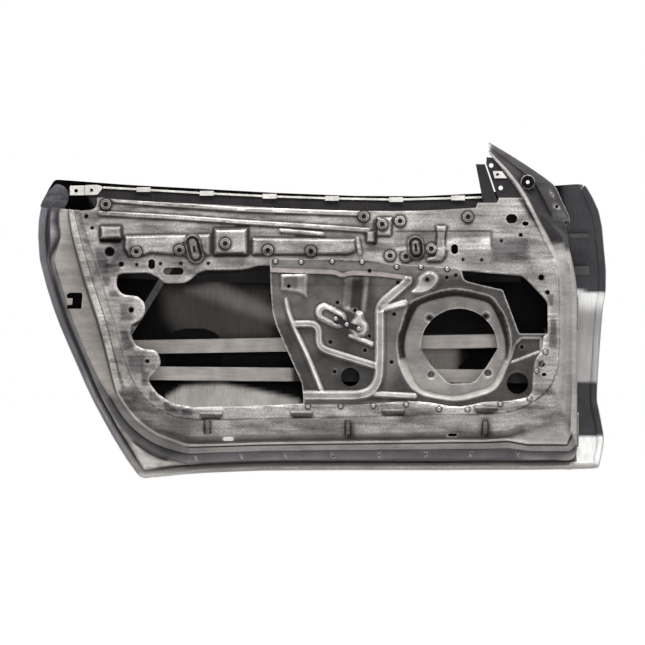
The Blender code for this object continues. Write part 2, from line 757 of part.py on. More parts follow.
FRONT_EDGE = [
    (672, 16), (682, 59), (686, 81), (685, 100), (676, 152), (670, 180), (671, 211), (678, 314),
    (685, 406), (692, 450), (692, 499), (686, 556), (681, 604), (672, 643), (655, 678), (639, 704),
]
BELT_TOP = [
    (621, 707), (562, 703), (386, 685), (238, 678), (77, 679), (-111, 686), (-298, 696),
    (-469, 705), (-594, 714), (-650, 718), (-667, 692),
]


def build_outer_skin():
    hemmed = [station[1] for station in STATIONS if station[2] in
              ("rear top", "rear", "corner", "sill", "front corner")] + FRONT_EDGE
    outline = hemmed + BELT_TOP
    edge = shifted(outline, SKIN_SHEET)
    lip = shifted(outline, HEM_WIDTH)
    main = edge[: len(hemmed)] + BELT_TOP
    guides = []
    z = SKIN_GUIDE_STEP
    while z < 690:
        xs = [x for x in range(-690, 700, 10) if depth_inside((x, z), main) > 30]
        if len(xs) > 1:
            guides.append((along_line([(xs[0], z), (xs[-1], z)], 2 * SKIN_GUIDE_STEP), False))
        z += SKIN_GUIDE_STEP
    flat, faces, origins = filled(main, [], guides)
    front = [Vector((x, skin_depth(x, z), z)) for x, z in flat]
    back = [Vector((p.x, p.y + SKIN_SHEET, p.z)) for p in front]
    found = {}
    for index, sources in enumerate(origins):
        for source in sources:
            found[source] = index
    fold = CASTING_WALL + SKIN_SEAT + GAP
    rows = []
    for i, (x, z) in enumerate(hemmed):
        first = found[i]
        back[first] = Vector((x, skin_depth(x, z) + SKIN_SHEET, z))
        turn = len(front)
        front.append(Vector((*edge[i], 0)).xzy + Vector((0, skin_depth(*edge[i]) - fold, 0)))
        back.append(Vector((x, skin_depth(*edge[i]) - fold - SKIN_SHEET, z)))
        front.append(Vector((*lip[i], 0)).xzy + Vector((0, skin_depth(*lip[i]) - fold, 0)))
        back.append(front[-1] - Vector((0, SKIN_SHEET, 0)))
        rows.append((first, turn, turn + 1))
    for here, after in zip(rows, rows[1:]):
        for a, b in ((0, 1), (1, 2)):
            faces += split(front, [here[a], here[b], after[b], after[a]])
    bm = closed_sheet(front, back, faces)
    bmesh.ops.triangulate(bm, faces=bm.faces[:])
    add_node("outer_skin", mesh_of(bm, "outer_skin"), "skin_aluminium")


build_outer_skin()

# Module carrier

CARRIER_OUTLINE = [
    (-126, 523), (43, 523), (127, 520), (154, 513), (186, 511), (321, 502), (333, 496), (339, 473),
    (351, 468), (418, 452), (433, 450), (438, 435), (455, 391), (472, 344), (546, 344), (546, 294),
    (526, 268), (511, 198), (494, 183), (449, 170), (388, 166), (348, 155), (280, 156), (213, 166),
    (126, 162), (-46, 162), (-46, 196), (-50, 226), (-70, 270), (-92, 320), (-110, 361), (-120, 396),
    (-124, 449),
]
SPEAKER_OUTLINE = [
    (321, 452), (279, 445), (223, 426), (207, 415), (187, 367), (179, 318), (184, 272), (213, 215),
    (246, 196), (317, 186), (393, 203), (416, 215), (444, 273), (452, 318), (451, 348), (431, 400),
    (407, 435), (378, 442),
]
SPEAKER_PLACE = (329, 312)
SPEAKER_FLATS = [(262, 267), (299, 228), (311, 223), (358, 225), (370, 231), (395, 264)]
SPEAKER_SCREWS = [(258, 382), (394, 386), (262, 245), (399, 249)]
CARRIER_ROUND_HOLES = [((67, 240), 22.5), ((468, 225), 26.0)]
CARRIER_PIN_HOLES = [
    (-81, 458), (36, 419), (78, 400), (113, 338), (19, 324), (172, 391), (102, 304), (29, 253),
    (166, 276), (298, 479), (479, 312),
]
CARRIER_RELIEF = [
    (SPEAKER_OUTLINE, -SPEAKER_RECESS, SPEAKER_SLOPE),
    (slot((18, 386), 68, 40, -27, 16), 7, 7),
    (circle((87, 357), 22, 14), 7, 6),
    ([(-97, 489), (-64, 489), (-64, 449), (-97, 449)], 5, 5),
    ([(231, 478), (256, 494), (272, 483), (276, 467), (260, 450), (238, 440), (218, 443)], 8, 8),
    ([(60, 472), (103, 472), (95, 396), (54, 410)], -4, 6),
]
CARRIER_BEADS = [
    ([(-82, 395), (-66, 353), (-34, 286), (-4, 214)], 4.0, CARRIER_BEAD),
    ([(-58, 367), (-23, 368), (-9, 354), (-9, 320), (4, 305), (112, 277)], 5.0, CARRIER_BEAD),
    ([(-34, 195), (92, 195), (122, 205), (137, 233), (138, 412), (196, 467)], 6.0, CARRIER_BEAD + 2),
    ([(128, 192), (215, 192)], 3.0, CARRIER_BEAD),
]
LINK_POINTS = [(32, 380), (58, 366), (87, 356)]
CARRIER_FRONT = -GAP - CARRIER_SHEET
CARRIER_BACK = CASTING_WALL + GAP


def carrier_face(x, z):
    """The carrier lies before the frame along the belt and behind it along the sill."""
    share = min(1.0, max(0.0, (JOGGLE_TOP - z) / (JOGGLE_TOP - JOGGLE_FOOT)))
    base = CARRIER_FRONT + share * (CARRIER_BACK - CARRIER_FRONT)
    return base + relief_depth((x, z), CARRIER_RELIEF, CARRIER_BEADS)


def speaker_opening():
    """The upper part of a circle closed below by five flats."""
    arc = [math.radians(-3 + 186 * i / 15) for i in range(16)]
    x, z = SPEAKER_PLACE
    round_part = [(x + SPEAKER_RADIUS * math.cos(a), z + SPEAKER_RADIUS * math.sin(a)) for a in arc]
    return round_part + SPEAKER_FLATS


def build_carrier():
    holes = [speaker_opening()]
    holes += [circle(place, radius, 20) for place, radius in CARRIER_ROUND_HOLES]
    holes += [circle(place, PIN_HOLE_RADIUS, 6) for place in CARRIER_PIN_HOLES + SPEAKER_SCREWS]
    holes += [circle(place, RIVET_RADIUS + GAP, 8) for place in TOP_RIVETS + EDGE_RIVETS + LINK_POINTS]
    guides = relief_guides(CARRIER_RELIEF, CARRIER_BEADS)
    for z in (JOGGLE_TOP, JOGGLE_FOOT):
        guides.append((crossings(CARRIER_OUTLINE, z), False))

    def far(x, z):
        return carrier_face(x, z) + CARRIER_SHEET

    bm = between(CARRIER_OUTLINE, holes, guides, carrier_face, far)
    add_node("module_carrier", mesh_of(bm, "module_carrier"), "carrier_aluminium")


build_carrier()


# Rivets: a low head on the cabin side, a shank through both sheets and a set tail


def add_rivet(name, place, seat, far, finish="rivet_aluminium"):
    head, tail = seat - GAP, far + GAP
    profile = [(0, head - RIVET_HEAD_HEIGHT), (0.6 * RIVET_HEAD_RADIUS, head - 0.85 * RIVET_HEAD_HEIGHT),
               (RIVET_HEAD_RADIUS, head - 0.2 * RIVET_HEAD_HEIGHT), (RIVET_HEAD_RADIUS, head),
               (RIVET_RADIUS, head), (RIVET_RADIUS, tail), (1.5 * RIVET_RADIUS, tail),
               (1.3 * RIVET_RADIUS, tail + RIVET_TAIL_HEIGHT), (0, tail + RIVET_TAIL_HEIGHT)]
    bm = turned_along_y(place, profile, 8)
    add_node(name, mesh_of(bm, name), finish)


for number, place in enumerate(TOP_RIVETS, 1):
    add_rivet(f"belt_rivet_{number}", place, CARRIER_FRONT, CASTING_WALL)
for number, place in enumerate(EDGE_RIVETS, 1):
    add_rivet(f"sill_rivet_{number}", place, 0.0, CARRIER_BACK + CARRIER_SHEET)


# Lift link: a short black plate held to the carrier's two embossed seats


def build_link():
    seat = carrier_face(*LINK_POINTS[0])
    face = seat - GAP - LINK_SHEET
    holes = [circle(place, RIVET_RADIUS + GAP, 8) for place in LINK_POINTS]
    bm = plate(band(LINK_POINTS, LINK_HALF_WIDTH), holes, face, LINK_SHEET)
    add_node("lift_link", mesh_of(bm, "lift_link"), "dark_coated_sheet")
    for number, place in enumerate(LINK_POINTS, 1):
        far = carrier_face(*place) + CARRIER_SHEET
        add_rivet(f"link_rivet_{number}", place, face, far)


build_link()


# Impact beams: rectangular tubes between a folded bracket at each end

BEAMS = {"upper": (318.5, 0.0172, -530), "lower": (243.0, -0.009, -500)}


def seal_line(z):
    """Where the flat rear face of the frame ends, at a height."""
    points = []
    for start, end, zone in STATIONS:
        if zone in ("rear", "corner"):
            points.append(Vector(start) + (Vector(end) - Vector(start)) * WALL_ROWS[zone][3][0])
    for upper, lower in zip(points, points[1:]):
        if upper.y >= z >= lower.y:
            return upper.x + (lower.x - upper.x) * (upper.y - z) / (upper.y - lower.y)
    return points[-1].x


def tube(name, middle, slope, start, end):
    """A rectangular tube along x, open at both ends, that rises by a slope."""
    outer = box_points((BEAM_FACE + BEAM_DEPTH / 2, middle), BEAM_DEPTH, BEAM_HEIGHT)
    inner = box_points((BEAM_FACE + BEAM_DEPTH / 2, middle), BEAM_DEPTH - 2 * BEAM_WALL,
                       BEAM_HEIGHT - 2 * BEAM_WALL)
    bm = bmesh.new()
    loops = []
    for points in (outer, inner):
        loop = [bm.verts.new((start, y, z + slope * start)) for y, z in points]
        loops += [bm.edges.new((loop[k], loop[(k + 1) % 4])) for k in range(4)]
    end_face = bmesh.ops.bridge_loops(bm, edges=loops)["faces"]
    grown = bmesh.ops.extrude_face_region(bm, geom=end_face)
    moved = [item for item in grown["geom"] if isinstance(item, bmesh.types.BMVert)]
    bmesh.ops.translate(bm, vec=(end - start, 0, slope * (end - start)), verts=moved)
    add_node(name, mesh_of(bm, name), "beam_aluminium")


def rear_bracket(name, middle):
    """A joggled plate from the back of the frame's flat rear face to the face of the beam."""
    low, high = middle - BRACKET_HEIGHT / 2, middle + BRACKET_HEIGHT / 2
    face = SEAL_FACE + CASTING_WALL + 2 * GAP
    saddle = BEAM_FACE - GAP - BRACKET_SHEET

    def edge(z, out):
        return (seal_line(z) + BRACKET_INSET + out, z)

    def depth(x, z):
        out = x - edge(z, 0)[0]
        share = min(1.0, max(0.0, (out - BRACKET_FOOT) / BRACKET_STEP))
        return face + share * (saddle - face)

    outline = [edge(low, 0), edge(low, BRACKET_LENGTH), edge(high, BRACKET_LENGTH), edge(high, 0)]
    folds = (BRACKET_FOOT, BRACKET_FOOT + BRACKET_STEP)
    guides = [([edge(low, out), edge(high, out)], False) for out in folds]
    bm = between(outline, [], guides, depth, lambda x, z: depth(x, z) + BRACKET_SHEET)
    add_node(name, mesh_of(bm, name), "beam_aluminium")


def front_bracket(name, middle):
    """An angle from the back of the hinge face to the face of the beam."""
    wall = HINGE_FACE_X - CASTING_WALL - GAP
    saddle = BEAM_FACE - GAP
    inner = wall - BRACKET_SHEET
    reach = wall - BRACKET_LENGTH
    section = [(reach, saddle - BRACKET_SHEET), (inner, saddle - BRACKET_SHEET), (inner, FRONT_FOOT_START),
               (wall, FRONT_FOOT_START), (wall, saddle), (reach, saddle)]
    bm = prism(section, "z", middle - BRACKET_HEIGHT / 2, middle + BRACKET_HEIGHT / 2)
    add_node(name, mesh_of(bm, name), "beam_aluminium")


for name, (middle, slope, rear_x) in BEAMS.items():
    tube(f"{name}_impact_beam", middle, slope, rear_x, BEAM_FRONT_X)
    rear_bracket(f"{name}_beam_rear_bracket", middle + slope * rear_x)
    front_bracket(f"{name}_beam_front_bracket", middle + slope * BEAM_FRONT_X)

# Belt: the outer reinforcement, its rail, six clips for the outer weather strip, and the end bracket

BELT_RAIL_LINE = [
    (-530, 697.5), (-433, 692.2), (-280, 683.2), (-128, 676), (23, 671), (178, 668), (328, 672), (388, 673.7),
]
CLIP_STATIONS = [1, 2, 3, 4, 5, 6]
REINFORCEMENT_FOOT = [(484, 470), (300, 468), (0, 466), (-300, 470), (-520, 480)]
REINFORCEMENT_TOP_END = [(-574, 690), (-544, 690)]
END_BRACKET_OUTLINE = [
    (-612, 679), (-612, 702), (-577, 703), (-574, 703.2), (-545, 704), (-533, 699.5), (-533, 695),
    (-545, 680), (-574, 679), (-577, 679),
]
END_BRACKET_ROUND = (-597, 690)
END_BRACKET_SLOT = (-559, 691)
END_BRACKET_FOLD = -575.5


def reinforcement_foot(x):
    """The height of the reinforcement's lower edge."""
    for (ax, az), (bx, bz) in zip(REINFORCEMENT_FOOT, REINFORCEMENT_FOOT[1:]):
        if ax >= x >= bx:
            return az + (bz - az) * (ax - x) / (ax - bx)
    return REINFORCEMENT_FOOT[-1][1] if x < 0 else REINFORCEMENT_FOOT[0][1]


WEB_FOOT = REINFORCEMENT_FLANGE + REINFORCEMENT_STEP
WEB_TOP = WEB_FOOT + REINFORCEMENT_WEB


def reinforcement_depth(x, z):
    """Flange on the skin, a web half way in, and the belt face."""
    out = z - reinforcement_foot(x)
    seat = skin_depth(x, z) - SKIN_SEAT - BELT_SHEET
    web = seat - REINFORCEMENT_RISE
    if out < WEB_FOOT:
        share = max(0.0, (out - REINFORCEMENT_FLANGE) / REINFORCEMENT_STEP)
        return seat + share * (web - seat)
    share = min(1.0, max(0.0, (out - WEB_TOP) / REINFORCEMENT_STEP))
    return web + share * (BELT_FACE - web)


def end_bracket_depth(x, z):
    """The rear half of the end bracket lies one step further out."""
    return BELT_FACE - GAP - BRACKET_SHEET + (END_BRACKET_STEP if x < END_BRACKET_FOLD else 0.0)


def build_rail():
    lip = band(BELT_RAIL_LINE, RAIL_LIP / 2)
    bm = between(lip, [], [], lambda x, z: RAIL_FACE, lambda x, z: RAIL_FACE + RAIL_SHEET)
    rail = add_node("belt_rail", mesh_of(bm, "belt_rail"), "rail_aluminium")
    shelf = between(band(BELT_RAIL_LINE, RAIL_SHELF / 2), [], [], lambda x, z: RAIL_FACE + RAIL_SHEET / 2,
                    lambda x, z: skin_depth(x, z) - SKIN_SEAT)
    combine(rail, "UNION", [shelf], "rail_shelf")
    for number, index in enumerate(CLIP_STATIONS, 1):
        x, z = BELT_RAIL_LINE[index]
        near, hook = RAIL_FACE - GAP - CLIP_SHEET, z + RAIL_LIP / 2 + CLIP_RISE
        side = [(near, z - CLIP_HEIGHT / 2), (near + CLIP_SHEET, z - CLIP_HEIGHT / 2),
                (near + CLIP_SHEET, hook), (RAIL_FACE + CLIP_HOOK, hook),
                (RAIL_FACE + CLIP_HOOK, hook + CLIP_SHEET), (near, hook + CLIP_SHEET)]
        bm = prism(side, "x", x - CLIP_LENGTH / 2, x + CLIP_LENGTH / 2)
        add_node(f"belt_clip_{number}", mesh_of(bm, f"belt_clip_{number}"), "rail_aluminium")


def build_reinforcement():
    top = [(x, z - RAIL_LIP / 2 - GAP - 0.5) for x, z in BELT_RAIL_LINE]
    outline = REINFORCEMENT_TOP_END + top + [(470, 672)] + REINFORCEMENT_FOOT
    heights = [REINFORCEMENT_FLANGE, WEB_FOOT, WEB_TOP, WEB_TOP + REINFORCEMENT_STEP]
    lines = [([(x, z + height) for x, z in REINFORCEMENT_FOOT], False) for height in heights]
    bm = between(outline, [], lines, reinforcement_depth,
                 lambda x, z: reinforcement_depth(x, z) + BELT_SHEET)
    add_node("outer_belt_reinforcement", mesh_of(bm, "outer_belt_reinforcement"), "dark_coated_sheet")


def build_end_bracket():
    holes = [circle(END_BRACKET_ROUND, END_BRACKET_HOLE, 10),
             box_points(END_BRACKET_SLOT, END_BRACKET_SQUARE, END_BRACKET_SQUARE)]
    low, high = END_BRACKET_OUTLINE[0][1], END_BRACKET_OUTLINE[1][1] + 1.0
    folds = [([(x, low), (x, high)], False) for x in (END_BRACKET_FOLD - 1.5, END_BRACKET_FOLD + 1.5)]
    bm = between(END_BRACKET_OUTLINE, holes, folds, end_bracket_depth,
                 lambda x, z: end_bracket_depth(x, z) + BRACKET_SHEET)
    add_node("belt_end_bracket", mesh_of(bm, "belt_end_bracket"), "rail_aluminium")


build_rail()
build_reinforcement()
build_end_bracket()

# Pieces behind the frame's plate: the window guide, the mirror plates, the grommet and the brace

BEHIND_PLATE = CASTING_WALL + GAP
GUIDE_OUTLINE = [(368, 751), (390, 751), (424, 650), (468, 520), (474, 500), (446, 500), (384, 668)]
GUIDE_FOOT = (453, 504)
GUIDE_HEAD = (374.4, 748)
MIRROR_OUTLINE = [
    (393, 752), (394, 768), (413, 766), (439, 736), (464, 702), (484, 670), (484, 652), (427, 652),
]
MIRROR_HOLES = [(405, 748), (428, 694)]
STAY_OUTLINE = [(409, 734), (431, 734), (443, 717), (413, 717)]
STAY_HOLE_PLACE = (420, 726)
BRACE_FOOTING = (-362, 512)
BRACE_END = (-474, 330)


def build_guide():
    bm = plate(GUIDE_OUTLINE, [], BEHIND_PLATE, BRACKET_SHEET)
    guide = add_node("front_window_guide", mesh_of(bm, "front_window_guide"), "dark_coated_sheet")
    near = BEHIND_PLATE + BRACKET_SHEET - 0.5
    far = near + GUIDE_DEPTH
    inner = GUIDE_WIDTH - GUIDE_SHEET
    channel = [(0, near), (GUIDE_WIDTH, near), (GUIDE_WIDTH, far), (0, far), (0, far - GUIDE_SHEET),
               (inner, far - GUIDE_SHEET), (inner, near + GUIDE_SHEET), (0, near + GUIDE_SHEET)]
    (foot_x, foot_z), (_, head_z) = GUIDE_FOOT, GUIDE_HEAD
    slope = (GUIDE_HEAD[0] - foot_x) / (head_z - foot_z)
    bm = prism(channel, "z", foot_z, head_z)
    for vert in bm.verts:
        vert.co.x += foot_x + (vert.co.z - foot_z) * slope
    combine(guide, "UNION", [bm], "guide_channel")


def build_mirror_plates():
    holes = [circle(place, MIRROR_HOLE) for place in MIRROR_HOLES]
    bm = plate(MIRROR_OUTLINE, holes, BEHIND_PLATE, MIRROR_SHEET)
    add_node("mirror_plate", mesh_of(bm, "mirror_plate"), "dark_coated_sheet")
    stay = plate(STAY_OUTLINE, [circle(STAY_HOLE_PLACE, STAY_HOLE, 10)], STAY_FACE, STAY_SHEET)
    add_node("mirror_stay", mesh_of(stay, "mirror_stay"), "rail_aluminium")
    seat, outer = GROMMET_SEAT - GAP, GROMMET_BORE - GAP
    inner, rim = outer - GROMMET_WALL, GROMMET_FLANGE_RADIUS
    profile = [(inner, seat - GROMMET_FLANGE), (rim, seat - GROMMET_FLANGE), (rim, seat), (outer, seat),
               (outer, GROMMET_FAR), (inner, GROMMET_FAR)]
    bm = bmesh.new()
    verts = [bm.verts.new((radius, y, 0)) for radius, y in profile]
    edges = [bm.edges.new((verts[k], verts[(k + 1) % len(verts)])) for k in range(len(verts))]
    bmesh.ops.spin(bm, geom=verts + edges, axis=(0, 1, 0), cent=(0, 0, 0), steps=16,
                   angle=2 * math.pi, use_merge=True)
    bmesh.ops.remove_doubles(bm, verts=bm.verts[:], dist=1e-3)
    bmesh.ops.translate(bm, vec=(GROMMET_PLACE[0], 0, GROMMET_PLACE[1]), verts=bm.verts[:])
    add_node("mirror_grommet", mesh_of(bm, "mirror_grommet"), "black_rubber")


def build_brace():
    """A hat-shaped strip: a foot on the frame's back at each end and a span that stands further out."""
    first, run = Vector(BRACE_FOOTING), Vector(BRACE_END) - Vector(BRACE_FOOTING)
    ramp = BRACE_FOOT + BRACE_RAMP
    face, back = BEHIND_PLATE, BEHIND_PLATE + BRACKET_SHEET
    line = [(0, 0), (BRACE_FOOT, 0), (ramp, BRACE_RISE), (run.length - ramp, BRACE_RISE),
            (run.length - BRACE_FOOT, 0), (run.length, 0)]
    section = [(s, face + y) for s, y in line] + [(s, back + y) for s, y in line[::-1]]
    bm = prism(section, "z", -BRACE_WIDTH / 2, BRACE_WIDTH / 2)
    turn = Matrix.Rotation(-math.atan2(run.y, run.x), 4, "Y")
    bmesh.ops.transform(bm, matrix=Matrix.Translation((first.x, 0, first.y)) @ turn, verts=bm.verts[:])
    add_node("rear_diagonal_brace", mesh_of(bm, "rear_diagonal_brace"), "beam_aluminium")


build_guide()
build_mirror_plates()
build_brace()

# Nut plates behind the hinge face and the latch, the skin's front brackets, pads and the drain plug


def nut_plate_across_x(name, z):
    wall = HINGE_FACE_X - CASTING_WALL - GAP
    outer = box_points((HINGE_PAD_Y, z), NUT_PLATE_WIDTH, NUT_PLATE_HEIGHT)
    bm = prism(outer, "x", wall - NUT_PLATE_SHEET, wall)
    nut = add_node(name, mesh_of(bm, name), "beam_aluminium")
    bolts = [prism(circle((HINGE_PAD_Y, z + side * HINGE_BOLT_SPREAD), HINGE_BOLT_RADIUS - 1, 10), "x",
                   wall - 3 * NUT_PLATE_SHEET, wall + NUT_PLATE_SHEET) for side in (-0.5, 0.5)]
    combine(nut, "DIFFERENCE", bolts, name + "_bolts")


nut_plate_across_x("upper_hinge_nut_plate", UPPER_HINGE_Z)
nut_plate_across_x("lower_hinge_nut_plate", LOWER_HINGE_Z)

LATCH_PLATE = [
    (-603, 390), (-566, 390), (-570, 457), (-614, 457), (-614, 446), (-581, 446), (-581, 401), (-603, 401),
]
bm = plate(LATCH_PLATE, [], SEAL_FACE + CASTING_WALL + 2 * GAP, BRACKET_SHEET)
add_node("latch_nut_plate", mesh_of(bm, "latch_nut_plate"), "beam_aluminium")

# Middle height, height and reach forward from the frame's front wall
SKIN_BRACKETS = {"lower_skin_bracket": (497.0, 20.0, 37.0), "upper_skin_bracket": (582.0, 10.0, 53.0)}


def front_wall(z):
    """How far forward the frame's front wall is at a height."""
    edge = [Vector(end) for _, end, zone in STATIONS if zone in ("front", "front top", "flag")]
    for low, high in zip(edge, edge[1:]):
        if low.y <= z <= high.y:
            return low.x + (high.x - low.x) * (z - low.y) / (high.y - low.y)
    return HINGE_FACE_X


for name, (middle, height, reach) in SKIN_BRACKETS.items():
    low, high = middle - height / 2, middle + height / 2
    wall = max(front_wall(low), front_wall(high)) + GAP
    arm = SKIN_BRACKET_ARM - BRACKET_SHEET
    web = wall + BRACKET_SHEET
    section = [(wall, SKIN_BRACKET_FOOT), (web, SKIN_BRACKET_FOOT), (web, arm),
               (wall + reach, arm), (wall + reach, SKIN_BRACKET_ARM), (wall, SKIN_BRACKET_ARM)]
    bm = prism(section, "z", low, high)
    add_node(name, mesh_of(bm, name), "rail_aluminium")

DAMPING_PADS = {
    "rear_damping_pad": [(-380, 262), (-380, 335), (-364, 348), (-335, 356), (-290, 356), (-262, 346),
                         (-248, 330), (-248, 262)],
    "front_damping_pad": [(323, 325), (323, 344), (329, 361), (400, 367), (520, 367), (520, 245),
                          (331, 245), (333, 262), (363, 293), (345, 310)],
}


def on_skin(x, z):
    return skin_depth(x, z) - SKIN_SEAT


for name, outline in DAMPING_PADS.items():
    bm = between(outline, [], [], lambda x, z: on_skin(x, z) - PAD_THICKNESS, on_skin)
    add_node(name, mesh_of(bm, name), "black_rubber")

def sill_face(x, z):
    """The face of the frame's wall below the plate, in the sill zone."""
    stations = [station for station in STATIONS if station[2] == "sill"]
    for (a, a_out, _), (b, b_out, _) in zip(stations, stations[1:]):
        if a[0] <= x <= b[0]:
            along = (x - a[0]) / (b[0] - a[0])
            top = a[1] + (b[1] - a[1]) * along
            share = (top - z) / (top - a_out[1] - (b_out[1] - a_out[1]) * along)
            rows = [(0.0, 0.0)] + WALL_ROWS["sill"]
            for (near, y), (far, deeper) in zip(rows, rows[1:]):
                if near <= share <= far:
                    return y + (deeper - y) * (share - near) / (far - near)
    return 0.0


bm = between(slot(PLUG_PLACE, PLUG_LENGTH, PLUG_WIDTH), [], [],
             lambda x, z: sill_face(x, z) - PLUG_FLANGE - SKIN_SEAT, lambda x, z: sill_face(x, z) - SKIN_SEAT)
plug = add_node("drain_plug", mesh_of(bm, "drain_plug"), "rail_aluminium")
inset = 2 * (PLUG_LAP + GAP) + 0.4
stem = prism(slot(PLUG_PLACE, PLUG_LENGTH - inset, PLUG_WIDTH - inset), "y", 24, 34)
combine(plug, "UNION", [stem], "plug_stem")
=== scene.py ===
"""Looks of a bare car door: a die-cast inner frame, a hemmed skin and a pressed carrier.

Lengths are millimetres in the door's own axes, x forward, y outboard from the plate's inner face and
z up from the sill, until piece() puts them into the frame's metres.
"""

import math

import bmesh
import bpy
import numpy as np
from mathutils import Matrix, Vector
from mathutils.geometry import delaunay_2d_cdt
from mathutils.kdtree import KDTree


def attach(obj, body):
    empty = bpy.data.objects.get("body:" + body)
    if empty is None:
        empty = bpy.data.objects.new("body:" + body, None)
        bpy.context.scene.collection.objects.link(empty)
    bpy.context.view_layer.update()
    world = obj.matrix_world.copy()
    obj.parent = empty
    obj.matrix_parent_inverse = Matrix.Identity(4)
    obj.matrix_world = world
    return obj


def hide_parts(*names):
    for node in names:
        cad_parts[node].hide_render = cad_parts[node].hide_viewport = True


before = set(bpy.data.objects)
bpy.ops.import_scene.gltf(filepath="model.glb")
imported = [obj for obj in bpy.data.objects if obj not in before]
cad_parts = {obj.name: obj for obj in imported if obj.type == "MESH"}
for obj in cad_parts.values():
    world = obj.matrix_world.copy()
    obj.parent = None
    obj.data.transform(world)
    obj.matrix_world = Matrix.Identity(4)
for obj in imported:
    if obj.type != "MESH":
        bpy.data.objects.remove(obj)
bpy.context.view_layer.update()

DATUM = np.array((619.0, 76.0, 395.0))  # the frame's origin, on the upper hinge pad
MM = 0.001
GAP = 0.3  # between pieces that lie on each other
SEAM = 0.01  # points closer than this are one
PHOTO_SIDE = 645

# Camera: level, looking outboard at the inner side from seven metres, where a pixel is 2.4 mm

lens = bpy.data.cameras.new("photo_camera")
lens.lens = 162.8
lens.sensor_width = 36.0
camera = bpy.data.objects.new("photo_camera", lens)
camera.location = (-0.619, -7.076, -0.0242)
camera.rotation_euler = (math.pi / 2, 0, 0)
bpy.context.scene.collection.objects.link(camera)
bpy.context.scene.camera = camera
bpy.context.scene.render.resolution_x = PHOTO_SIDE
bpy.context.scene.render.resolution_y = PHOTO_SIDE
bpy.context.scene.view_settings.view_transform = "Standard"


# Plane geometry on arrays of (x, z) points


def from_segment(points, start, end):
    """The distance of each point from one segment."""
    run = np.subtract(end, start)
    off = points - start
    along = np.clip(off @ run / max(run @ run, 1e-12), 0, 1)
    return np.linalg.norm(off - along[:, None] * run, axis=1)


def from_line(points, line):
    """The distance of each point from an open line."""
    return np.min([from_segment(points, a, b) for a, b in zip(line, line[1:])], axis=0)


def reach_in(points, outline):
    """How far each point lies inside a closed outline, or a negative distance outside it."""
    gap = np.full(len(points), np.inf)
    inside = np.zeros(len(points), bool)
    for (ax, az), (bx, bz) in zip(outline, list(outline[1:]) + [outline[0]]):
        gap = np.minimum(gap, from_segment(points, (ax, az), (bx, bz)))
        if az != bz:
            crosses = (az > points[:, 1]) != (bz > points[:, 1])
            inside ^= crosses & (points[:, 0] < ax + (points[:, 1] - az) * (bx - ax) / (bz - az))
    return np.where(inside, gap, -gap)


def away(points, place):
    """The distance of each point from one place."""
    return np.linalg.norm(points - place, axis=1)


def ramp(values, low, high):
    """A smooth step from 0 at low to 1 at high."""
    share = np.clip((values - low) / (high - low), 0, 1)
    return share * share * (3 - 2 * share)


def rounded(points, radius, steps=3, closed=True):
    """A line whose corners are eased by curves that start a radius away from them."""
    result = []
    for i, here in enumerate(points):
        here = np.array(here, float)
        if not closed and i in (0, len(points) - 1):
            result.append(tuple(here))
            continue
        back, on = np.subtract(points[i - 1], here), np.subtract(points[(i + 1) % len(points)], here)
        start = here + back * min(0.45, radius / np.linalg.norm(back))
        end = here + on * min(0.45, radius / np.linalg.norm(on))
        for t in np.linspace(0, 1, steps + 1):
            result.append(tuple((1 - t) ** 2 * start + 2 * t * (1 - t) * here + t * t * end))
    return result


def area(left, foot, right, top):
    return [(left, foot), (right, foot), (right, top), (left, top)]


def box(middle, width, height):
    x, z = middle
    return area(x - width / 2, z - height / 2, x + width / 2, z + height / 2)


def circle(centre, radius, sides=24):
    turns = np.arange(sides) * 2 * math.pi / sides
    return [(centre[0] + radius * math.cos(a), centre[1] + radius * math.sin(a)) for a in turns]


def slot(centre, length, width, tilt=0.0, sides=24):
    """A round-ended slot, tilted by degrees from x towards z."""
    turn, half = math.radians(tilt), (length - width) / 2
    points = []
    for x, z in circle((0, 0), width / 2, sides):
        x += half if x > 1e-6 else -half
        points.append((centre[0] + x * math.cos(turn) - z * math.sin(turn),
                       centre[1] + x * math.sin(turn) + z * math.cos(turn)))
    return points


def resampled(line, step, closed=True):
    """The line with points added so that none are further apart than the step."""
    ends = list(line[1:]) + ([line[0]] if closed else [])
    points = []
    for a, b in zip(line, ends):
        parts = max(1, round(math.dist(a, b) / step))
        points += [tuple(np.add(a, np.subtract(b, a) * k / parts)) for k in range(parts)]
    return points if closed else points + [tuple(line[-1])]


def rails(line, distances, spacing, closed=False):
    """Guide lines at distances beside a line or inside a closed outline."""
    line = np.array(resampled(line, spacing, closed), float)
    if closed:
        run = np.roll(line, -1, axis=0) - np.roll(line, 1, axis=0)
        area = np.sum(line[:, 0] * np.roll(line[:, 1], -1) - np.roll(line[:, 0], -1) * line[:, 1])
        run *= np.sign(area)
    else:
        run = np.gradient(line, axis=0)
    side = np.column_stack((-run[:, 1], run[:, 0])) / np.linalg.norm(run, axis=1)[:, None]
    return [(list(map(tuple, line + side * distance)), closed) for distance in distances]


ROW_PITCH = 0.866  # between rows of even triangles, as a share of their side
OFF_EDGES = 0.4  # how far the lattice keeps from outlines and from guides, as shares of its spacing
OFF_GUIDES = 0.55


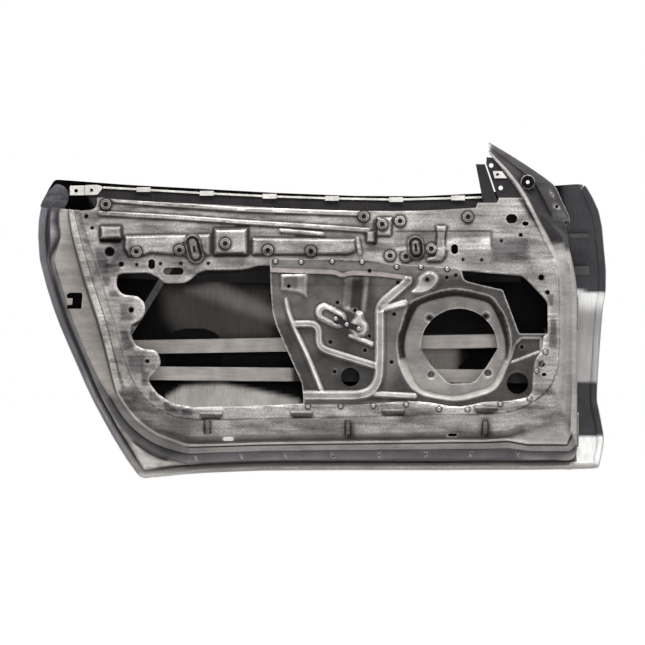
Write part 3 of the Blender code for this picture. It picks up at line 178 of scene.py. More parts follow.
def sheet(outline, holes, guides, spacing, depth):
    """A bmesh over an outline with holes, on an even lattice whose edges follow the guide lines.
    Guides are (line, closed) pairs and depth gives y for an array of (x, z) points."""
    points, edges = [], []
    for line, closed in [(outline, True)] + [(hole, True) for hole in holes] + guides:
        first = len(points)
        points += [tuple(p) for p in line]
        edges += [(k, k + 1) for k in range(first, len(points) - 1)]
        if closed:
            edges.append((len(points) - 1, first))
    loops = KDTree(len(points))
    for index, (x, z) in enumerate(points):
        loops.insert((x, z, 0), index)
    loops.balance()
    low, high = np.min(outline, axis=0), np.max(outline, axis=0)
    lattice = []
    for row, z in enumerate(np.arange(low[1], high[1], spacing * ROW_PITCH)):
        lattice += [(x, z) for x in np.arange(low[0] + (row % 2) * spacing / 2, high[0], spacing)]
    lattice = np.array(lattice)
    lattice = lattice[reach_in(lattice, outline) > OFF_EDGES * spacing]
    for hole in holes:
        near = np.abs(lattice - np.mean(hole, axis=0)).max(1) < np.ptp(hole, axis=0).max() + spacing
        kept = np.ones(len(lattice), bool)
        kept[near] = reach_in(lattice[near], hole) < -OFF_EDGES * spacing
        lattice = lattice[kept]
    lattice = [p for p in lattice if loops.find((p[0], p[1], 0))[2] > OFF_GUIDES * spacing]
    flat, _, faces, _, _, _ = delaunay_2d_cdt([Vector(p) for p in points + lattice], edges, [], 0, 1e-4)
    flat = np.array([tuple(p) for p in flat])
    faces = np.array([face for face in faces if len(face) == 3])
    centres = flat[faces].mean(axis=1)
    kept = reach_in(centres, outline) > 0
    for hole in holes:
        near = np.abs(centres - np.mean(hole, axis=0)).max(1) < np.ptp(hole, axis=0).max()
        kept[near] &= reach_in(centres[near], hole) < 0
    bm = bmesh.new()
    verts = [bm.verts.new((x, y, z)) for (x, z), y in zip(flat, depth(flat))]
    for a, b, c in faces[kept]:
        bm.faces.new((verts[a], verts[b], verts[c]))
    bmesh.ops.delete(bm, geom=[vert for vert in bm.verts if not vert.link_faces], context="VERTS")
    return bm


# Solids


def prism(points, axis, start, end):
    """A solid from a closed outline in the plane across an axis, between two places on it."""
    along = "xyz".index(axis)
    bm = bmesh.new()
    corners = []
    for point in points:
        corner = list(point)
        corner.insert(along, start)
        corners.append(bm.verts.new(corner))
    grown = bmesh.ops.extrude_face_region(bm, geom=[bm.faces.new(corners)])
    move = Vector((0, 0, 0))
    move[along] = end - start
    moved = [item for item in grown["geom"] if isinstance(item, bmesh.types.BMVert)]
    bmesh.ops.translate(bm, vec=move, verts=moved)
    bmesh.ops.recalc_face_normals(bm, faces=bm.faces[:])
    return bm


def turned(centre, profile, sides=32):
    """A ring or disc about a line along y, from a profile of (radius, y) pairs."""
    bm = bmesh.new()
    verts = [bm.verts.new((radius, y, 0)) for radius, y in profile]
    edges = [bm.edges.new(pair) for pair in zip(verts, verts[1:])]
    if profile[0][0] > 0.01:
        edges.append(bm.edges.new((verts[-1], verts[0])))
    bmesh.ops.spin(bm, geom=verts + edges, axis=(0, 1, 0), cent=(0, 0, 0), steps=sides,
                   angle=2 * math.pi, use_merge=True)
    bmesh.ops.remove_doubles(bm, verts=bm.verts[:], dist=1e-3)
    bmesh.ops.translate(bm, vec=(centre[0], 0, centre[1]), verts=bm.verts[:])
    bmesh.ops.recalc_face_normals(bm, faces=bm.faces[:])
    return bm


def joined(parts):
    """Several bmeshes as one."""
    bm = bmesh.new()
    for part in parts:
        mesh = bpy.data.meshes.new("part")
        part.to_mesh(mesh)
        part.free()
        bm.from_mesh(mesh)
        bpy.data.meshes.remove(mesh)
    return bm


def grid_surface(points):
    """A surface through an array of points in columns and rows."""
    along, across = points.shape[0] - 1, points.shape[1] - 1
    bm = bmesh.new()
    bmesh.ops.create_grid(bm, x_segments=along, y_segments=across, size=0.5)
    for vert in bm.verts:
        vert.co = points[round((vert.co.x + 0.5) * along), round((vert.co.y + 0.5) * across)]
    return bm


def face_cabin(bm):
    """Turns the faces of a surface towards the cabin."""
    bmesh.ops.recalc_face_normals(bm, faces=bm.faces[:])
    if sum(face.normal.y * face.calc_area() for face in bm.faces) > 0:
        bmesh.ops.reverse_faces(bm, faces=bm.faces[:])


def object_of(name, bm):
    mesh = bpy.data.meshes.new(name)
    bm.to_mesh(mesh)
    bm.free()
    made = bpy.data.objects.new(name, mesh)
    bpy.context.scene.collection.objects.link(made)
    return made


def settled(obj):
    """Turns the object's modifiers into its mesh."""
    graph = bpy.context.evaluated_depsgraph_get()
    mesh = bpy.data.meshes.new_from_object(obj.evaluated_get(graph))
    obj.modifiers.clear()
    obj.data = mesh


def thickened(bm, name, thickness, towards=-1.0):
    """A closed object from a bmesh that faces the cabin, grown away from it by a thickness."""
    made = object_of(name, bm)
    solid = made.modifiers.new("thickness", "SOLIDIFY")
    solid.thickness = thickness
    solid.offset = towards
    settled(made)
    return made


def combined(obj, operation, parts):
    """Joins solids to the object, or cuts them from it."""
    tool = object_of("tool", joined(parts))
    boolean = obj.modifiers.new("shape", "BOOLEAN")
    boolean.operation = operation
    boolean.object = tool
    boolean.solver = "EXACT"
    settled(obj)
    bpy.data.objects.remove(tool, do_unlink=True)


def corners_of(mesh):
    found = np.empty(len(mesh.vertices) * 3)
    mesh.vertices.foreach_get("co", found)
    return found.reshape(-1, 3)


def piece(obj, looks, slot_name, *stands_for, sharp=32):
    """Puts a finished object into the frame's metres and hands it to the frame."""
    places = (corners_of(obj.data) - DATUM) * MM
    obj.data.vertices.foreach_set("co", places.ravel())
    obj.data.update()
    obj.data.materials.clear()
    obj.data.materials.append(looks)
    obj.data.shade_smooth()
    obj.data.set_sharp_from_angle(angle=math.radians(sharp))
    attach(obj, "root")
    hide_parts(*stands_for)
    return obj


# Materials


def tone(code):
    """A linear colour from an sRGB hex code."""
    channels = [int(code[i : i + 2], 16) / 255 for i in (1, 3, 5)]
    return [c / 12.92 if c <= 0.04045 else ((c + 0.055) / 1.055) ** 2.4 for c in channels] + [1.0]


def add(tree, kind, inputs, **settings):
    """A node of a kind with its settings, whose inputs are values or the sockets that feed them."""
    node = tree.nodes.new(kind)
    for key, value in settings.items():
        setattr(node, key, value)
    for key, value in inputs.items():
        if isinstance(value, bpy.types.NodeSocket):
            tree.links.new(value, node.inputs[key])
        else:
            node.inputs[key].default_value = value
    return node


def new_material(name, metallic, specular=0.5):
    made = bpy.data.materials.new(name)
    made.use_nodes = True
    tree = made.node_tree
    shader = tree.nodes["Principled BSDF"]
    shader.inputs["Metallic"].default_value = metallic
    shader.inputs["Specular IOR Level"].default_value = specular
    place = add(tree, "ShaderNodeTexCoord", {}).outputs["Object"]
    return made, tree, shader, place


def spread(tree, value, low, high, near, far):
    """The span of a value from low to high, spread from near to far."""
    inputs = {"Value": value, "From Min": low, "From Max": high, "To Min": near, "To Max": far}
    return add(tree, "ShaderNodeMapRange", inputs).outputs["Result"]


def noise(tree, place, cell, low, high, near=0.0, far=1.0, stretch=None, detail=4.0):
    """Noise with cells of a size in millimetres, its values from low to high spread from near to far."""
    if stretch:
        place = add(tree, "ShaderNodeMapping", {"Vector": place, "Scale": stretch}).outputs["Vector"]
    found = add(tree, "ShaderNodeTexNoise", {"Vector": place, "Scale": 1000 / cell, "Detail": detail})
    return spread(tree, found.outputs["Fac"], low, high, near, far)


def worked_out(tree, operation, *values):
    return add(tree, "ShaderNodeMath", dict(enumerate(values)), operation=operation).outputs[0]


def times(tree, colour, factor, share=1.0):
    """The colour times a factor, by a share."""
    inputs = {0: share, 6: colour, 7: factor}
    return add(tree, "ShaderNodeMix", inputs, data_type="RGBA", blend_type="MULTIPLY").outputs[2]


def bump(tree, shader, height, depth, under=None):
    """Adds a relief of a depth in millimetres to the shader's normal."""
    inputs = {"Height": height, "Distance": depth * MM, "Strength": 1.0}
    if under:
        inputs["Normal"] = under
    normal = add(tree, "ShaderNodeBump", inputs).outputs["Normal"]
    tree.links.new(normal, shader.inputs["Normal"])
    return normal


def painted(tree, shader):
    """The colour stored on the mesh, which also dims the sheen of its darker parts."""
    found = add(tree, "ShaderNodeAttribute", {}, attribute_name="tone").outputs
    tree.links.new(found["Color"], shader.inputs["Specular Tint"])
    return found["Color"], found["Alpha"]


def finish(tree, shader, colour, rough):
    tree.links.new(colour, shader.inputs["Base Color"])
    tree.links.new(rough, shader.inputs["Roughness"])


# Raw die casting, shot-blasted and etched: blotched grey with darker stains, flow streaks and fine pits
def cast_aluminium():
    made, tree, shader, place = new_material("cast_aluminium_look", 0.25)
    blotch = noise(tree, place, 80, 0.36, 0.64, 0.6, 1.36, stretch=(0.8, 1.0, 1.2), detail=8)
    stain = noise(tree, place, 46, 0.5, 0.7, 1.0, 0.28, stretch=(0.5, 1.0, 2.0), detail=9)
    streak = noise(tree, place, 26, 0.35, 0.65, 0.78, 1.2, stretch=(0.3, 1.0, 3.0), detail=7)
    fleck = noise(tree, place, 4.2, 0.3, 0.72, 0.66, 1.3, detail=4)
    colour, share = painted(tree, shader)
    for pattern in (blotch, stain, streak, fleck):
        colour = times(tree, colour, pattern, share)
    finish(tree, shader, colour, noise(tree, place, 34, 0.35, 0.65, 0.4, 0.58))
    wavy = bump(tree, shader, noise(tree, place, 14, 0.2, 0.8, detail=2), 0.25)
    bump(tree, shader, noise(tree, place, 1.3, 0.2, 0.8, detail=2), 0.06, wavy)
    return made


# Aluminium body sheet: bare satin outside and on its hem, with painted shade on the inside
def skin_aluminium():
    made, tree, shader, place = new_material("skin_aluminium_look", 0.4)
    cloud = noise(tree, place, 90, 0.35, 0.65, 0.88, 1.08)
    brushed = noise(tree, place, 9, 0.3, 0.7, 0.84, 1.12, stretch=(3.0, 3.0, 0.12), detail=3)
    colour, share = painted(tree, shader)
    colour = times(tree, times(tree, colour, cloud), brushed, share)
    finish(tree, shader, colour, noise(tree, place, 30, 0.35, 0.65, 0.3, 0.42))
    bump(tree, shader, noise(tree, place, 2.0, 0.2, 0.8, stretch=(2.0, 2.0, 0.2), detail=2), 0.02)
    return made


# Pressed aluminium sheet, dull and dark grey with drawing marks on the stretched edges
def carrier_aluminium():
    made, tree, shader, place = new_material("carrier_aluminium_look", 0.35)
    cloud = noise(tree, place, 45, 0.36, 0.64, 0.74, 1.2, detail=6)
    grain = noise(tree, place, 5, 0.3, 0.7, 0.88, 1.1, stretch=(0.3, 1.0, 2.5), detail=3)
    colour, share = painted(tree, shader)
    colour = times(tree, times(tree, colour, cloud, share), grain)
    finish(tree, shader, colour, noise(tree, place, 26, 0.35, 0.65, 0.26, 0.4))
    wavy = bump(tree, shader, noise(tree, place, 30, 0.2, 0.8, detail=1), 0.25)
    bump(tree, shader, noise(tree, place, 1.1, 0.2, 0.8, detail=2), 0.02, wavy)
    return made


FULL_SHEEN = 0.5
SHEEN_BY_TONE = 1.6  # a dark finish also has less sheen
PAINTED_SHADE_EDGE = 12.0  # the soft edge of the painted shade, and how much light it leaves
PAINTED_SHADE_TONE = 0.04


def plain_metal(name, colour, metallic, smooth, rough, stretch=None, cell=6.0, painted_shade_spans=()):
    """A sheet or turned part in one colour, with light streaks and a fine grain, and painted shade between
    pairs of places on x."""
    made, tree, shader, place = new_material(name, metallic, min(FULL_SHEEN, SHEEN_BY_TONE * tone(colour)[0]))
    cloud = noise(tree, place, 40, 0.36, 0.64, 0.82, 1.12)
    streak = noise(tree, place, cell, 0.3, 0.7, 0.84, 1.12, stretch=stretch, detail=3)
    base = times(tree, times(tree, tone(colour), cloud), streak)
    along = add(tree, "ShaderNodeSeparateXYZ", {0: place}).outputs[0]
    for low, high in painted_shade_spans:
        middle, half = ((low + high) / 2 - DATUM[0]) * MM, (high - low) / 2 * MM
        off = worked_out(tree, "ABSOLUTE", worked_out(tree, "SUBTRACT", along, middle))
        base = times(tree, base, spread(tree, off, half - PAINTED_SHADE_EDGE * MM, half, PAINTED_SHADE_TONE, 1.0))
    finish(tree, shader, base, noise(tree, place, 20, 0.35, 0.65, smooth, rough))
    bump(tree, shader, noise(tree, place, 1.2, 0.2, 0.8, stretch=stretch, detail=2), 0.03)
    return made


CAST = cast_aluminium()
SKIN = skin_aluminium()
CARRIER = carrier_aluminium()
# Extruded beams and folded brackets: mill-finish aluminium, with painted shade where the carrier hides them
BEAM = plain_metal("beam_aluminium_look", "#aaa49f", 0.45, 0.32, 0.46, stretch=(0.1, 1.0, 2.0),
                   painted_shade_spans=((-80, 228), (434, 560)))
# Bright rolled rail, clips and small brackets
RAIL = plain_metal("rail_aluminium_look", "#cfccc7", 0.45, 0.28, 0.4, stretch=(1.0, 1.0, 1.0))
# Brackets that stay in the shade of the door: the same sheet painted darker, as painted shade
SHADED = plain_metal("shaded_aluminium_look", "#504e4c", 0.35, 0.4, 0.55, stretch=(1.0, 1.0, 1.0))
# Dark coated steel with upright brushing, as on the belt strip, the guide and the plates; on the belt strip
# its darkness is partly painted shade of the window slot
DARK = plain_metal("dark_coated_and_shaded_sheet_look", "#333133", 0.25, 0.36, 0.5, stretch=(4.0, 1.0, 0.15), cell=12.0)
# Moulded rubber: black, matt and faintly mottled
RUBBER = plain_metal("black_rubber_look", "#191819", 0.0, 0.6, 0.75)
# Rivet heads: bright aluminium worn by the setting tool
RIVET = plain_metal("rivet_aluminium_look", "#b9b6b1", 0.4, 0.3, 0.42)


def neighbours(mesh, values):
    """The mean of a value over the points joined to each point."""
    ends = np.empty(len(mesh.edges) * 2, int)
    mesh.edges.foreach_get("vertices", ends)
    near, far = ends[::2], ends[1::2]
    total = np.zeros_like(values)
    np.add.at(total, near, values[far])
    np.add.at(total, far, values[near])
    count = np.bincount(ends, minlength=len(values)).reshape([-1] + [1] * (values.ndim - 1))
    return total / np.maximum(count, 1)


WEAR_AND_HIGHLIGHT_FROM, WEAR_AND_HIGHLIGHT_GAIN = 0.08, 1.7  # how proud of its neighbours a point is before it wears and gets a painted highlight
DIRT_AND_SHADE_LIMIT, DIRT_AND_SHADE_GAIN = 1.2, 2.8


def edge_wear_and_highlight(mesh):
    """How much each point is rubbed bright, near 1 on a sharp edge, partly as a painted highlight, and how
    much grime and painted shade lies there, near 1 in a groove.
    """
    places = corners_of(mesh)
    normals = np.empty(len(places) * 3)
    mesh.vertices.foreach_get("normal", normals)
    proud = ((places - neighbours(mesh, places)) * normals.reshape(-1, 3)).sum(1)
    dirt_and_shade = np.clip(-proud, 0, DIRT_AND_SHADE_LIMIT)
    for _ in range(2):
        dirt_and_shade = 0.5 * dirt_and_shade + 0.5 * neighbours(mesh, dirt_and_shade)
    wear_and_highlight = np.clip((proud - WEAR_AND_HIGHLIGHT_FROM) * WEAR_AND_HIGHLIGHT_GAIN, 0, 1)
    return np.clip(0.5 * wear_and_highlight + 0.6 * neighbours(mesh, wear_and_highlight), 0, 1), np.clip(dirt_and_shade * DIRT_AND_SHADE_GAIN, 0, 1)


CALMED = 0.65  # the share of the blotches that a calm outline takes away
CALM_EDGE = 2


def paint(obj, base, zones, lines=(), calm=(), worn_and_lit="#ebe8e4", wear_and_highlight_share=0.5, dirt_and_shade_share=0.85):
    """Stores a colour for each point of a mesh still in millimetres: zones laid one over another, then rubbed
    edges with painted highlights and grime with painted shade in grooves, then fine lines. A zone is an
    outline, its colour, its soft edge and its strength.
    The fourth channel is the share of the blotches, which is less inside the calm outlines."""
    flat = corners_of(obj.data)[:, (0, 2)]
    colours = np.tile(tone(base), (len(flat), 1))

    def lay(outline, code, soft, strength):
        low, high = np.min(outline, axis=0) - soft, np.max(outline, axis=0) + soft
        near = np.all((flat > low) & (flat < high), axis=1)
        if near.any():
            share = ramp(reach_in(flat[near], outline), -soft, soft) * strength
            colours[near] += (tone(code) - colours[near]) * share[:, None]

    for zone in zones:
        lay(*zone)
    wear_and_highlight, dirt_and_shade = edge_wear_and_highlight(obj.data)
    colours += (tone(worn_and_lit) - colours) * (wear_and_highlight * wear_and_highlight_share)[:, None]
    colours *= 1 - (dirt_and_shade * dirt_and_shade_share)[:, None]
    for zone in lines:
        lay(*zone)
    for outline in calm:
        calmed = CALMED * ramp(reach_in(flat, outline), -CALM_EDGE, CALM_EDGE)
        colours[:, 3] = np.minimum(colours[:, 3], 1 - calmed)
    layer = obj.data.attributes.new("tone", "FLOAT_COLOR", "POINT")
    layer.data.foreach_set("color", colours.ravel())


def strip(line, reach, code, soft, strength):
    """A zone along a line, to a distance on each side of it."""
    sides = rails(line, (-reach, reach), 4)
    return sides[0][0] + sides[1][0][::-1], code, soft, strength


def spots(places, radius, code, soft, strength):
    """Round zones of one kind."""
    return [(circle(place, radius), code, soft, strength) for place in places]


# The shape that the skin gives to all that rests on it

SKIN_EDGE_DEPTH = 88.0
BULGE_DEPTH, BULGE_MIDDLE, BULGE_REACH = 42.0, 330, 350  # the skin's bulge over its height
SIDE_DEPTH, SIDE_REACH = 8.0, 690  # and along its length
SKIN_SHEET = 1.2
SKIN_SEAT = 0.6
CASTING_WALL = 3.0
HEM_WIDTH = 17.0


def skin_depth(x, z):
    """The inner face of the outer skin."""
    over_height = BULGE_DEPTH * (1 - ((z - BULGE_MIDDLE) / BULGE_REACH) ** 2)
    return SKIN_EDGE_DEPTH + over_height + SIDE_DEPTH * (1 - (x / SIDE_REACH) ** 2)


# Inner frame: one die casting, a plate with a ribbed belt whose edge runs on into a wall all round.
# The hinges bolt to its front wall, the latch to its flat rear face, and the skin is hemmed round it

STATIONS_BY_KIND = {  # where the wall leaves the plate and where it ends
    "rear top": [((-583, 639), (-684, 655)), ((-574, 606), (-691, 618)), ((-564, 575), (-693, 579))],
    "rear": [((-545, 516), (-690, 524)), ((-528, 462), (-675, 462)), ((-512, 413), (-659, 410)),
             ((-500, 375), (-643, 366)), ((-488, 330), (-622, 316)), ((-475, 284), (-598, 262)),
             ((-463, 248), (-578, 216))],
    "corner": [((-448, 220), (-558, 175)), ((-432, 197), (-535, 133)), ((-415, 179), (-508, 86)),
               ((-398, 166), (-474, 33)), ((-379, 155), (-442, -8)), ((-352, 145), (-398, -5))],
    "sill": [((-312, 139), (-336, 1)), ((-269, 137), (-276, 5)), ((-141, 140), (-143, 10)),
             ((42, 144), (42, 11)), ((140, 146), (142, 11)), ((294, 150), (300, 11)),
             ((378, 150), (388, 12)), ((438, 155), (455, 12))],
    "front corner": [((474, 164), (510, 12)), ((505, 181), (565, 13)), ((534, 203), (616, 14))],
    "front": [((550, 225), (616, 66)), ((560, 248), (616, 114)), ((566, 268), (616, 165)),
              ((568, 317), (616, 250)), ((568, 370), (616, 340)), ((568, 425), (616, 440)),
              ((567, 473), (612, 480)), ((562, 503), (606, 512))],
    "front top": [((548, 536), (598, 548)), ((529, 570), (594, 582))],
    "flag": [((501, 627), (596, 622)), ((479, 670), (578, 662)), ((457, 704), (558, 702)),
             ((432, 738), (517, 733)), ((410, 764), (462, 769))],
    "flag tip": [((401, 776), (402, 805))],
}
STATIONS = [(*ends, kind) for kind, places in STATIONS_BY_KIND.items() for ends in places]
WALL_ROWS = {  # share of the way out, or height above 1, and depth, of each bend of the wall
    "rear top": [(.03, 6), (.13, 22), (.15, 25), (.17, 24), (.25, 27), (.29, 30), (.32, 54), (.36, 57),
                 (.53, 59), (.56, 66), (.60, 70), (.74, 73)],
    "rear": [(.03, 6), (.12, 20), (.155, 25), (.175, 23.5), (.255, 27), (.275, 29), (.32, 54), (.35, 60),
             (.70, 60), (.73, 64), (.83, 104), (.86, 110)],
    "corner": [(.04, 6), (.16, 17), (.28, 25), (.36, 28), (.40, 27), (.43, 27), (.46, 35), (.50, 38),
               (.58, 44), (.62, 48), (.74, 64), (.82, 90)],
    "sill": [(.04, 4), (.20, 15), (.29, 21), (.42, 27), (.455, 24), (.478, 24), (.50, 31), (.52, 31),
             (.60, 37), (.635, 42), (.79, 66), (.82, 74)],
    "front corner": [(.04, 4), (.16, 14), (.24, 20), (.34, 26), (82, 24), (79, 24), (75, 31), (72, 31),
                     (62, 37), (57, 42), (37, 56), (33, 64)],
    "front": [(.06, 3), (.20, 12), (.30, 20), (.45, 27), (.72, 35), (.74, 34), (.78, 36), (.84, 38),
              (.93, 42), (.985, 48), (1, 56), (1, 80)],
    "front top": [(.06, 2), (.16, 9), (.25, 16), (.40, 22), (.55, 26), (.65, 29), (.75, 32), (.85, 37),
                  (.92, 41), (.96, 44), (.99, 50), (1, 58)],
    "flag": [(.05, 0), (.10, 0), (.14, 0), (.17, 3), (.22, 8), (.26, 11), (.36, 17), (.42, 20), (.55, 22),
             (.66, 24), (.80, 25.5), (.90, 27)],
    "flag tip": [(.06, 0), (.13, 0), (.2, 0), (.25, 1.5), (.32, 4.5), (.38, 7), (.46, 10), (.52, 12),
                 (.62, 15), (.70, 18), (.80, 22), (.90, 25)],
}
HEMMED = ("rear top", "rear", "corner", "sill", "front corner")
MIXED = {7: 0.1, 8: 0.3, 9: 0.6}  # rear stations whose bends already lean towards the corner's
SQUEEZED = {12: 0.97, 13: 0.86, 14: 0.78, 15: 0.88}  # stations whose bends keep clear of the skin's corner
LAST_BEND = 12
HEM_FLANGE = (23.5, 3.0)  # the flat flange under the hem: its start and end, in from the outer edge
LEAST_SLANT = 0.35
BEND_STEP = 0.012
FRONT_CLEARANCE = 5.0  # between the front wall's edge and the skin
FRONT_LIP = 4.0
FLAG_RIM = [(0.95, 28.5), (1.0, 30.0)]
WALL_EASE = 2.6
BELT_END_HEIGHT = 669  # where the plate's edge meets the front end of the belt
BELT_EDGE = [
    (-555, 641), (-545, 646), (-541, 656), (-541, 670), (-532, 671), (-491, 666), (-400, 660),
    (-294, 655), (-198, 651), (-109, 645), (0, 641), (76, 639), (160, 638), (234, 639), (300, 642),
    (368, 646), (373, 658), (419, 658), (424, 670),
]
OPENING = [
    (-494, 462), (-494, 476), (-490, 485), (-481, 489), (-418, 490), (-397, 481), (-386, 470),
    (-375, 465), (-333, 465), (-320, 471), (-300, 489), (-281, 496), (-198, 497), (-174, 501),
    (-157, 507), (-114, 508), (100, 504), (160, 491), (290, 486), (339, 494), (402, 489),
    (476, 483), (487, 476), (536, 425), (540, 415), (541, 346), (530, 337), (527, 304), (510, 281),
    (506, 262), (503, 202), (489, 190), (449, 183), (388, 180), (337, 169), (304, 170), (264, 178),
    (213, 183), (126, 177), (-44, 176), (-205, 169), (-312, 168), (-359, 176), (-396, 200),
    (-416, 227), (-415, 239), (-393, 260), (-388, 274), (-392, 292), (-403, 305), (-430, 307),
    (-450, 318), (-462, 348), (-457, 366), (-436, 378), (-425, 396), (-427, 418), (-444, 434),
    (-478, 437), (-491, 450),
]
EASED_OPENING = rounded(OPENING, 7)
OPENING_LIP = 3.0
FRAME_HOLES = [
    ((-567, 626), 4), ((-553, 598), 3.4), ((-511, 541), 11), ((-483, 511), 5.5), ((-446, 510), 3),
    ((-389, 512), 3.2), ((-340, 513), 3.2), ((-274, 513), 3.4), ((337, 522), 3.2), ((382, 521), 3.2),
    ((476, 581), 4), ((429, 567), 3.6), ((525, 479), 6.5), ((540, 443), 4.8), ((526, 271), 6.5),
    ((-459, 401), 6), ((-420, 278), 4),
]
FRAME_SLOTS = [
    ((-410, 511), 24, 16.8, 90), ((-358, 494), 49, 18, 0), ((317, 547), 24, 16.8, 90),
    ((454, 620), 27.4, 22.8, 0), ((487, 608), 15, 10.6, 0), ((532, 246), 12, 8.4, 0),
]
POCKET = [(176, 590), (403, 590), (405, 552), (176, 549)]
RELIEF = [  # outline, height towards the cabin, width of its slope
    ([(-475, 580), (-336, 583), (-268, 584), (-268, 532), (-330, 530), (-392, 536), (-412, 537),
      (-444, 526), (-466, 530), (-477, 548)], 6, 7),
    ([(-262, 597), (-178, 599), (-178, 532), (-262, 532)], 12, 9),
    ([(-170, 575), (80, 573), (80, 540), (60, 534), (-170, 533)], 6, 7),
    ([(-534, 603), (-482, 603), (-481, 572), (-534, 570)], 10, 7),
    ([(130, 624), (168, 624), (166, 578), (130, 578)], 5, 6),
    ([(104, 592), (129, 592), (129, 560), (104, 562)], 8, 6),
    (POCKET, -9, 8),
    ([(272, 604), (299, 604), (297, 530), (286, 517), (248, 516), (250, 526), (268, 532)], 5, 6),
]
RIBS = [  # line, half its flat width, height, width of its slope
    ([(-500, 664), (-350, 652), (-198, 642), (85, 632)], 3.0, 3.5, 3.5),
    ([(-534, 633), (-350, 623), (-198, 612), (12, 599), (110, 592)], 3.0, 3.5, 3.5),
    ([(-100, 592), (1, 583)], 2.0, 3.0, 4.0),
    ([(84, 572), (90, 536)], 2.0, 3.0, 4.0),
]
BOSSES = [
    (-520, 654), (-446, 540), (-343, 544), (-233, 560), (-131, 544), (-28, 542), (99, 625),
    (143, 606), (186, 614), (349, 624), (261, 548), (162, 531), (200, 529),
]
BOSS_RADII = [0, 1.7, 2.3, 4.9, 5.6, 8.2, 8.8, 11.8, 13.6]
BOSS_RISES = [3.0, 3.0, -1.5, -1.5, 6.8, 6.8, 5.0, 5.0, 0.0]
OVAL_BOSSES = [((-308, 547), 72, 41, 105, 17), ((224, 550), 58, 41, 96, 20)]
OVAL_INSETS = [0, 2, 4, 6.5, 9.5, 12]
OVAL_RISES = [0, 5, 5, -4, -4, 5]
PLAIN_RINGS = [((496, 514), 7.0), ((502, 499), 6.5)]
TOP_RIVETS = [(-113, 517), (-51, 516), (23, 517), (95, 516), (178, 504), (236, 504), (299, 499)]
EDGE_RIVETS = [
    (-35, 169), (44, 170), (122, 171), (201, 174), (280, 163), (348, 162), (427, 175), (497, 188),
    (514, 255), (535, 300),
]
RIVET_HOLE = 2.7
SILL_LIPS = [(-267, 149), (-50, 152.5), (170, 157), (392, 163)]
SILL_STEMS = [-276, 61, 391]
REAR_EAR = [
    (-688, 650), (-632, 642), (-619, 663), (-616, 682), (-624, 700), (-645, 709), (-668, 688), (-680, 668),
]
LIP_PROFILE = [(1.5, 6), (-7, 4.5), (-8, 2), (-3, -6.5), (1.5, -6.5)]  # depth, and height above its place
LIP_HALF = 27
LIP_TAPER = ((-6.5, 4.5), (9, 1))  # between these heights its ends draw in by these lengths
STEM_TOP, STEM_FOOT, STEM_HALF = 133, 103, 4
STEM_PROFILE = [(4, STEM_TOP), (14, STEM_FOOT), (24, STEM_FOOT), (14, STEM_TOP)]
HINGE_PADS = (395.0, 112.0)
HINGE_PAD_Y = 76
HINGE_PAD_WIDTH, HINGE_PAD_HEIGHT = 52, 84
HINGE_BOLT_SPREAD, HINGE_BOLT_RADIUS = 26, 5
HINGE_PAD_SUNK, HINGE_PAD_PROUD = 1.5, 3
HINGE_FACE_X = 616.0
HARNESS_HOLE_Z, HARNESS_HOLE_RADIUS = 182, 18
STRAP_SLOT_Z, STRAP_SLOT_SIDE = 283, 24
GROMMET_PLACE = (493, 708)
GROMMET_BORE = 11.0
OVALS = [(-227, 91), (313, 100)]
FLAG_HOLES = [((553, 679), 2.4), ((564, 650), 4.4), ((587, 612), 4.4)]
SILL_HOLES = [
    (-306, 44), (-196, 44), (-88, 44), (26, 47), (137, 50), (249, 52), (361, 54), (472, 57), (583, 60),
]
SILL_HOLE_RADIUS = 2.4
LATCH_OPENING = [
    (-619, 404), (-618, 413), (-606, 414), (-605, 429), (-619, 430), (-619, 438), (-612, 443), (-583, 443),
    (-581, 436), (-584, 404),
]


def wall_keys(index):
    """The bends of the wall at one station, from the plate's edge to the outer edge."""
    start, end, kind = STATIONS[index]
    start, reach = np.array(start, float), np.subtract(end, start).astype(float)
    length = np.linalg.norm(reach)
    squeeze = SQUEEZED.get(index, 1.0)
    rows = [(0.0, 0.0)]
    for (s, d), ahead in zip(WALL_ROWS[kind], WALL_ROWS["corner"]):
        if index in MIXED:
            s, d = np.array((s, d)) * (1 - MIXED[index]) + np.array(ahead) * MIXED[index]
        rows.append(((s - start[1]) / reach[1] if s > 1 else s * squeeze, float(d)))
    if kind in HEMMED:
        last = len(STATIONS) - 1
        edge = np.subtract(STATIONS[min(index + 1, last)][1], STATIONS[max(index - 1, 0)][1])
        slant = abs(reach[0] * edge[1] - reach[1] * edge[0]) / length / np.linalg.norm(edge)
        inner, outer = [1 - width / max(slant, LEAST_SLANT) / length for width in HEM_FLANGE]
        for bend in (LAST_BEND - 1, LAST_BEND):
            share, depth = rows[bend]
            rows[bend] = (min(share, inner - BEND_STEP * (LAST_BEND + 1 - bend)), depth)
        for share in (inner, outer):
            x, z = start + reach * share
            rows.append((share, skin_depth(x, z) - SKIN_SEAT - CASTING_WALL))
    elif kind.startswith("front"):
        edge = skin_depth(*end) - FRONT_CLEARANCE
        rows += [(1.0, edge), (1 + FRONT_LIP / length, edge)]
    else:
        rows += FLAG_RIM
    last, flange = np.array(rows[LAST_BEND]), LAST_BEND + 1
    step = (rows[flange] - last) / 3
    rows[flange:flange] = [tuple(last + step), tuple(last + 2 * step)]
    return [(start[0] + reach[0] * s, d, start[1] + reach[1] * s) for s, d in rows]


def eased_rows(section, radius):
    """The bends of a section, each replaced by a small curve."""
    points = [section[0]]
    for before, here, after in zip(section, section[1:], section[2:]):
        back, on = before - here, after - here
        start = here + back * min(0.4, radius / max(np.linalg.norm(back), 1e-6))
        end = here + on * min(0.4, radius / max(np.linalg.norm(on), 1e-6))
        points += [start, (start + 2 * here + end) / 4, end]
    return np.array(points + [section[-1]])


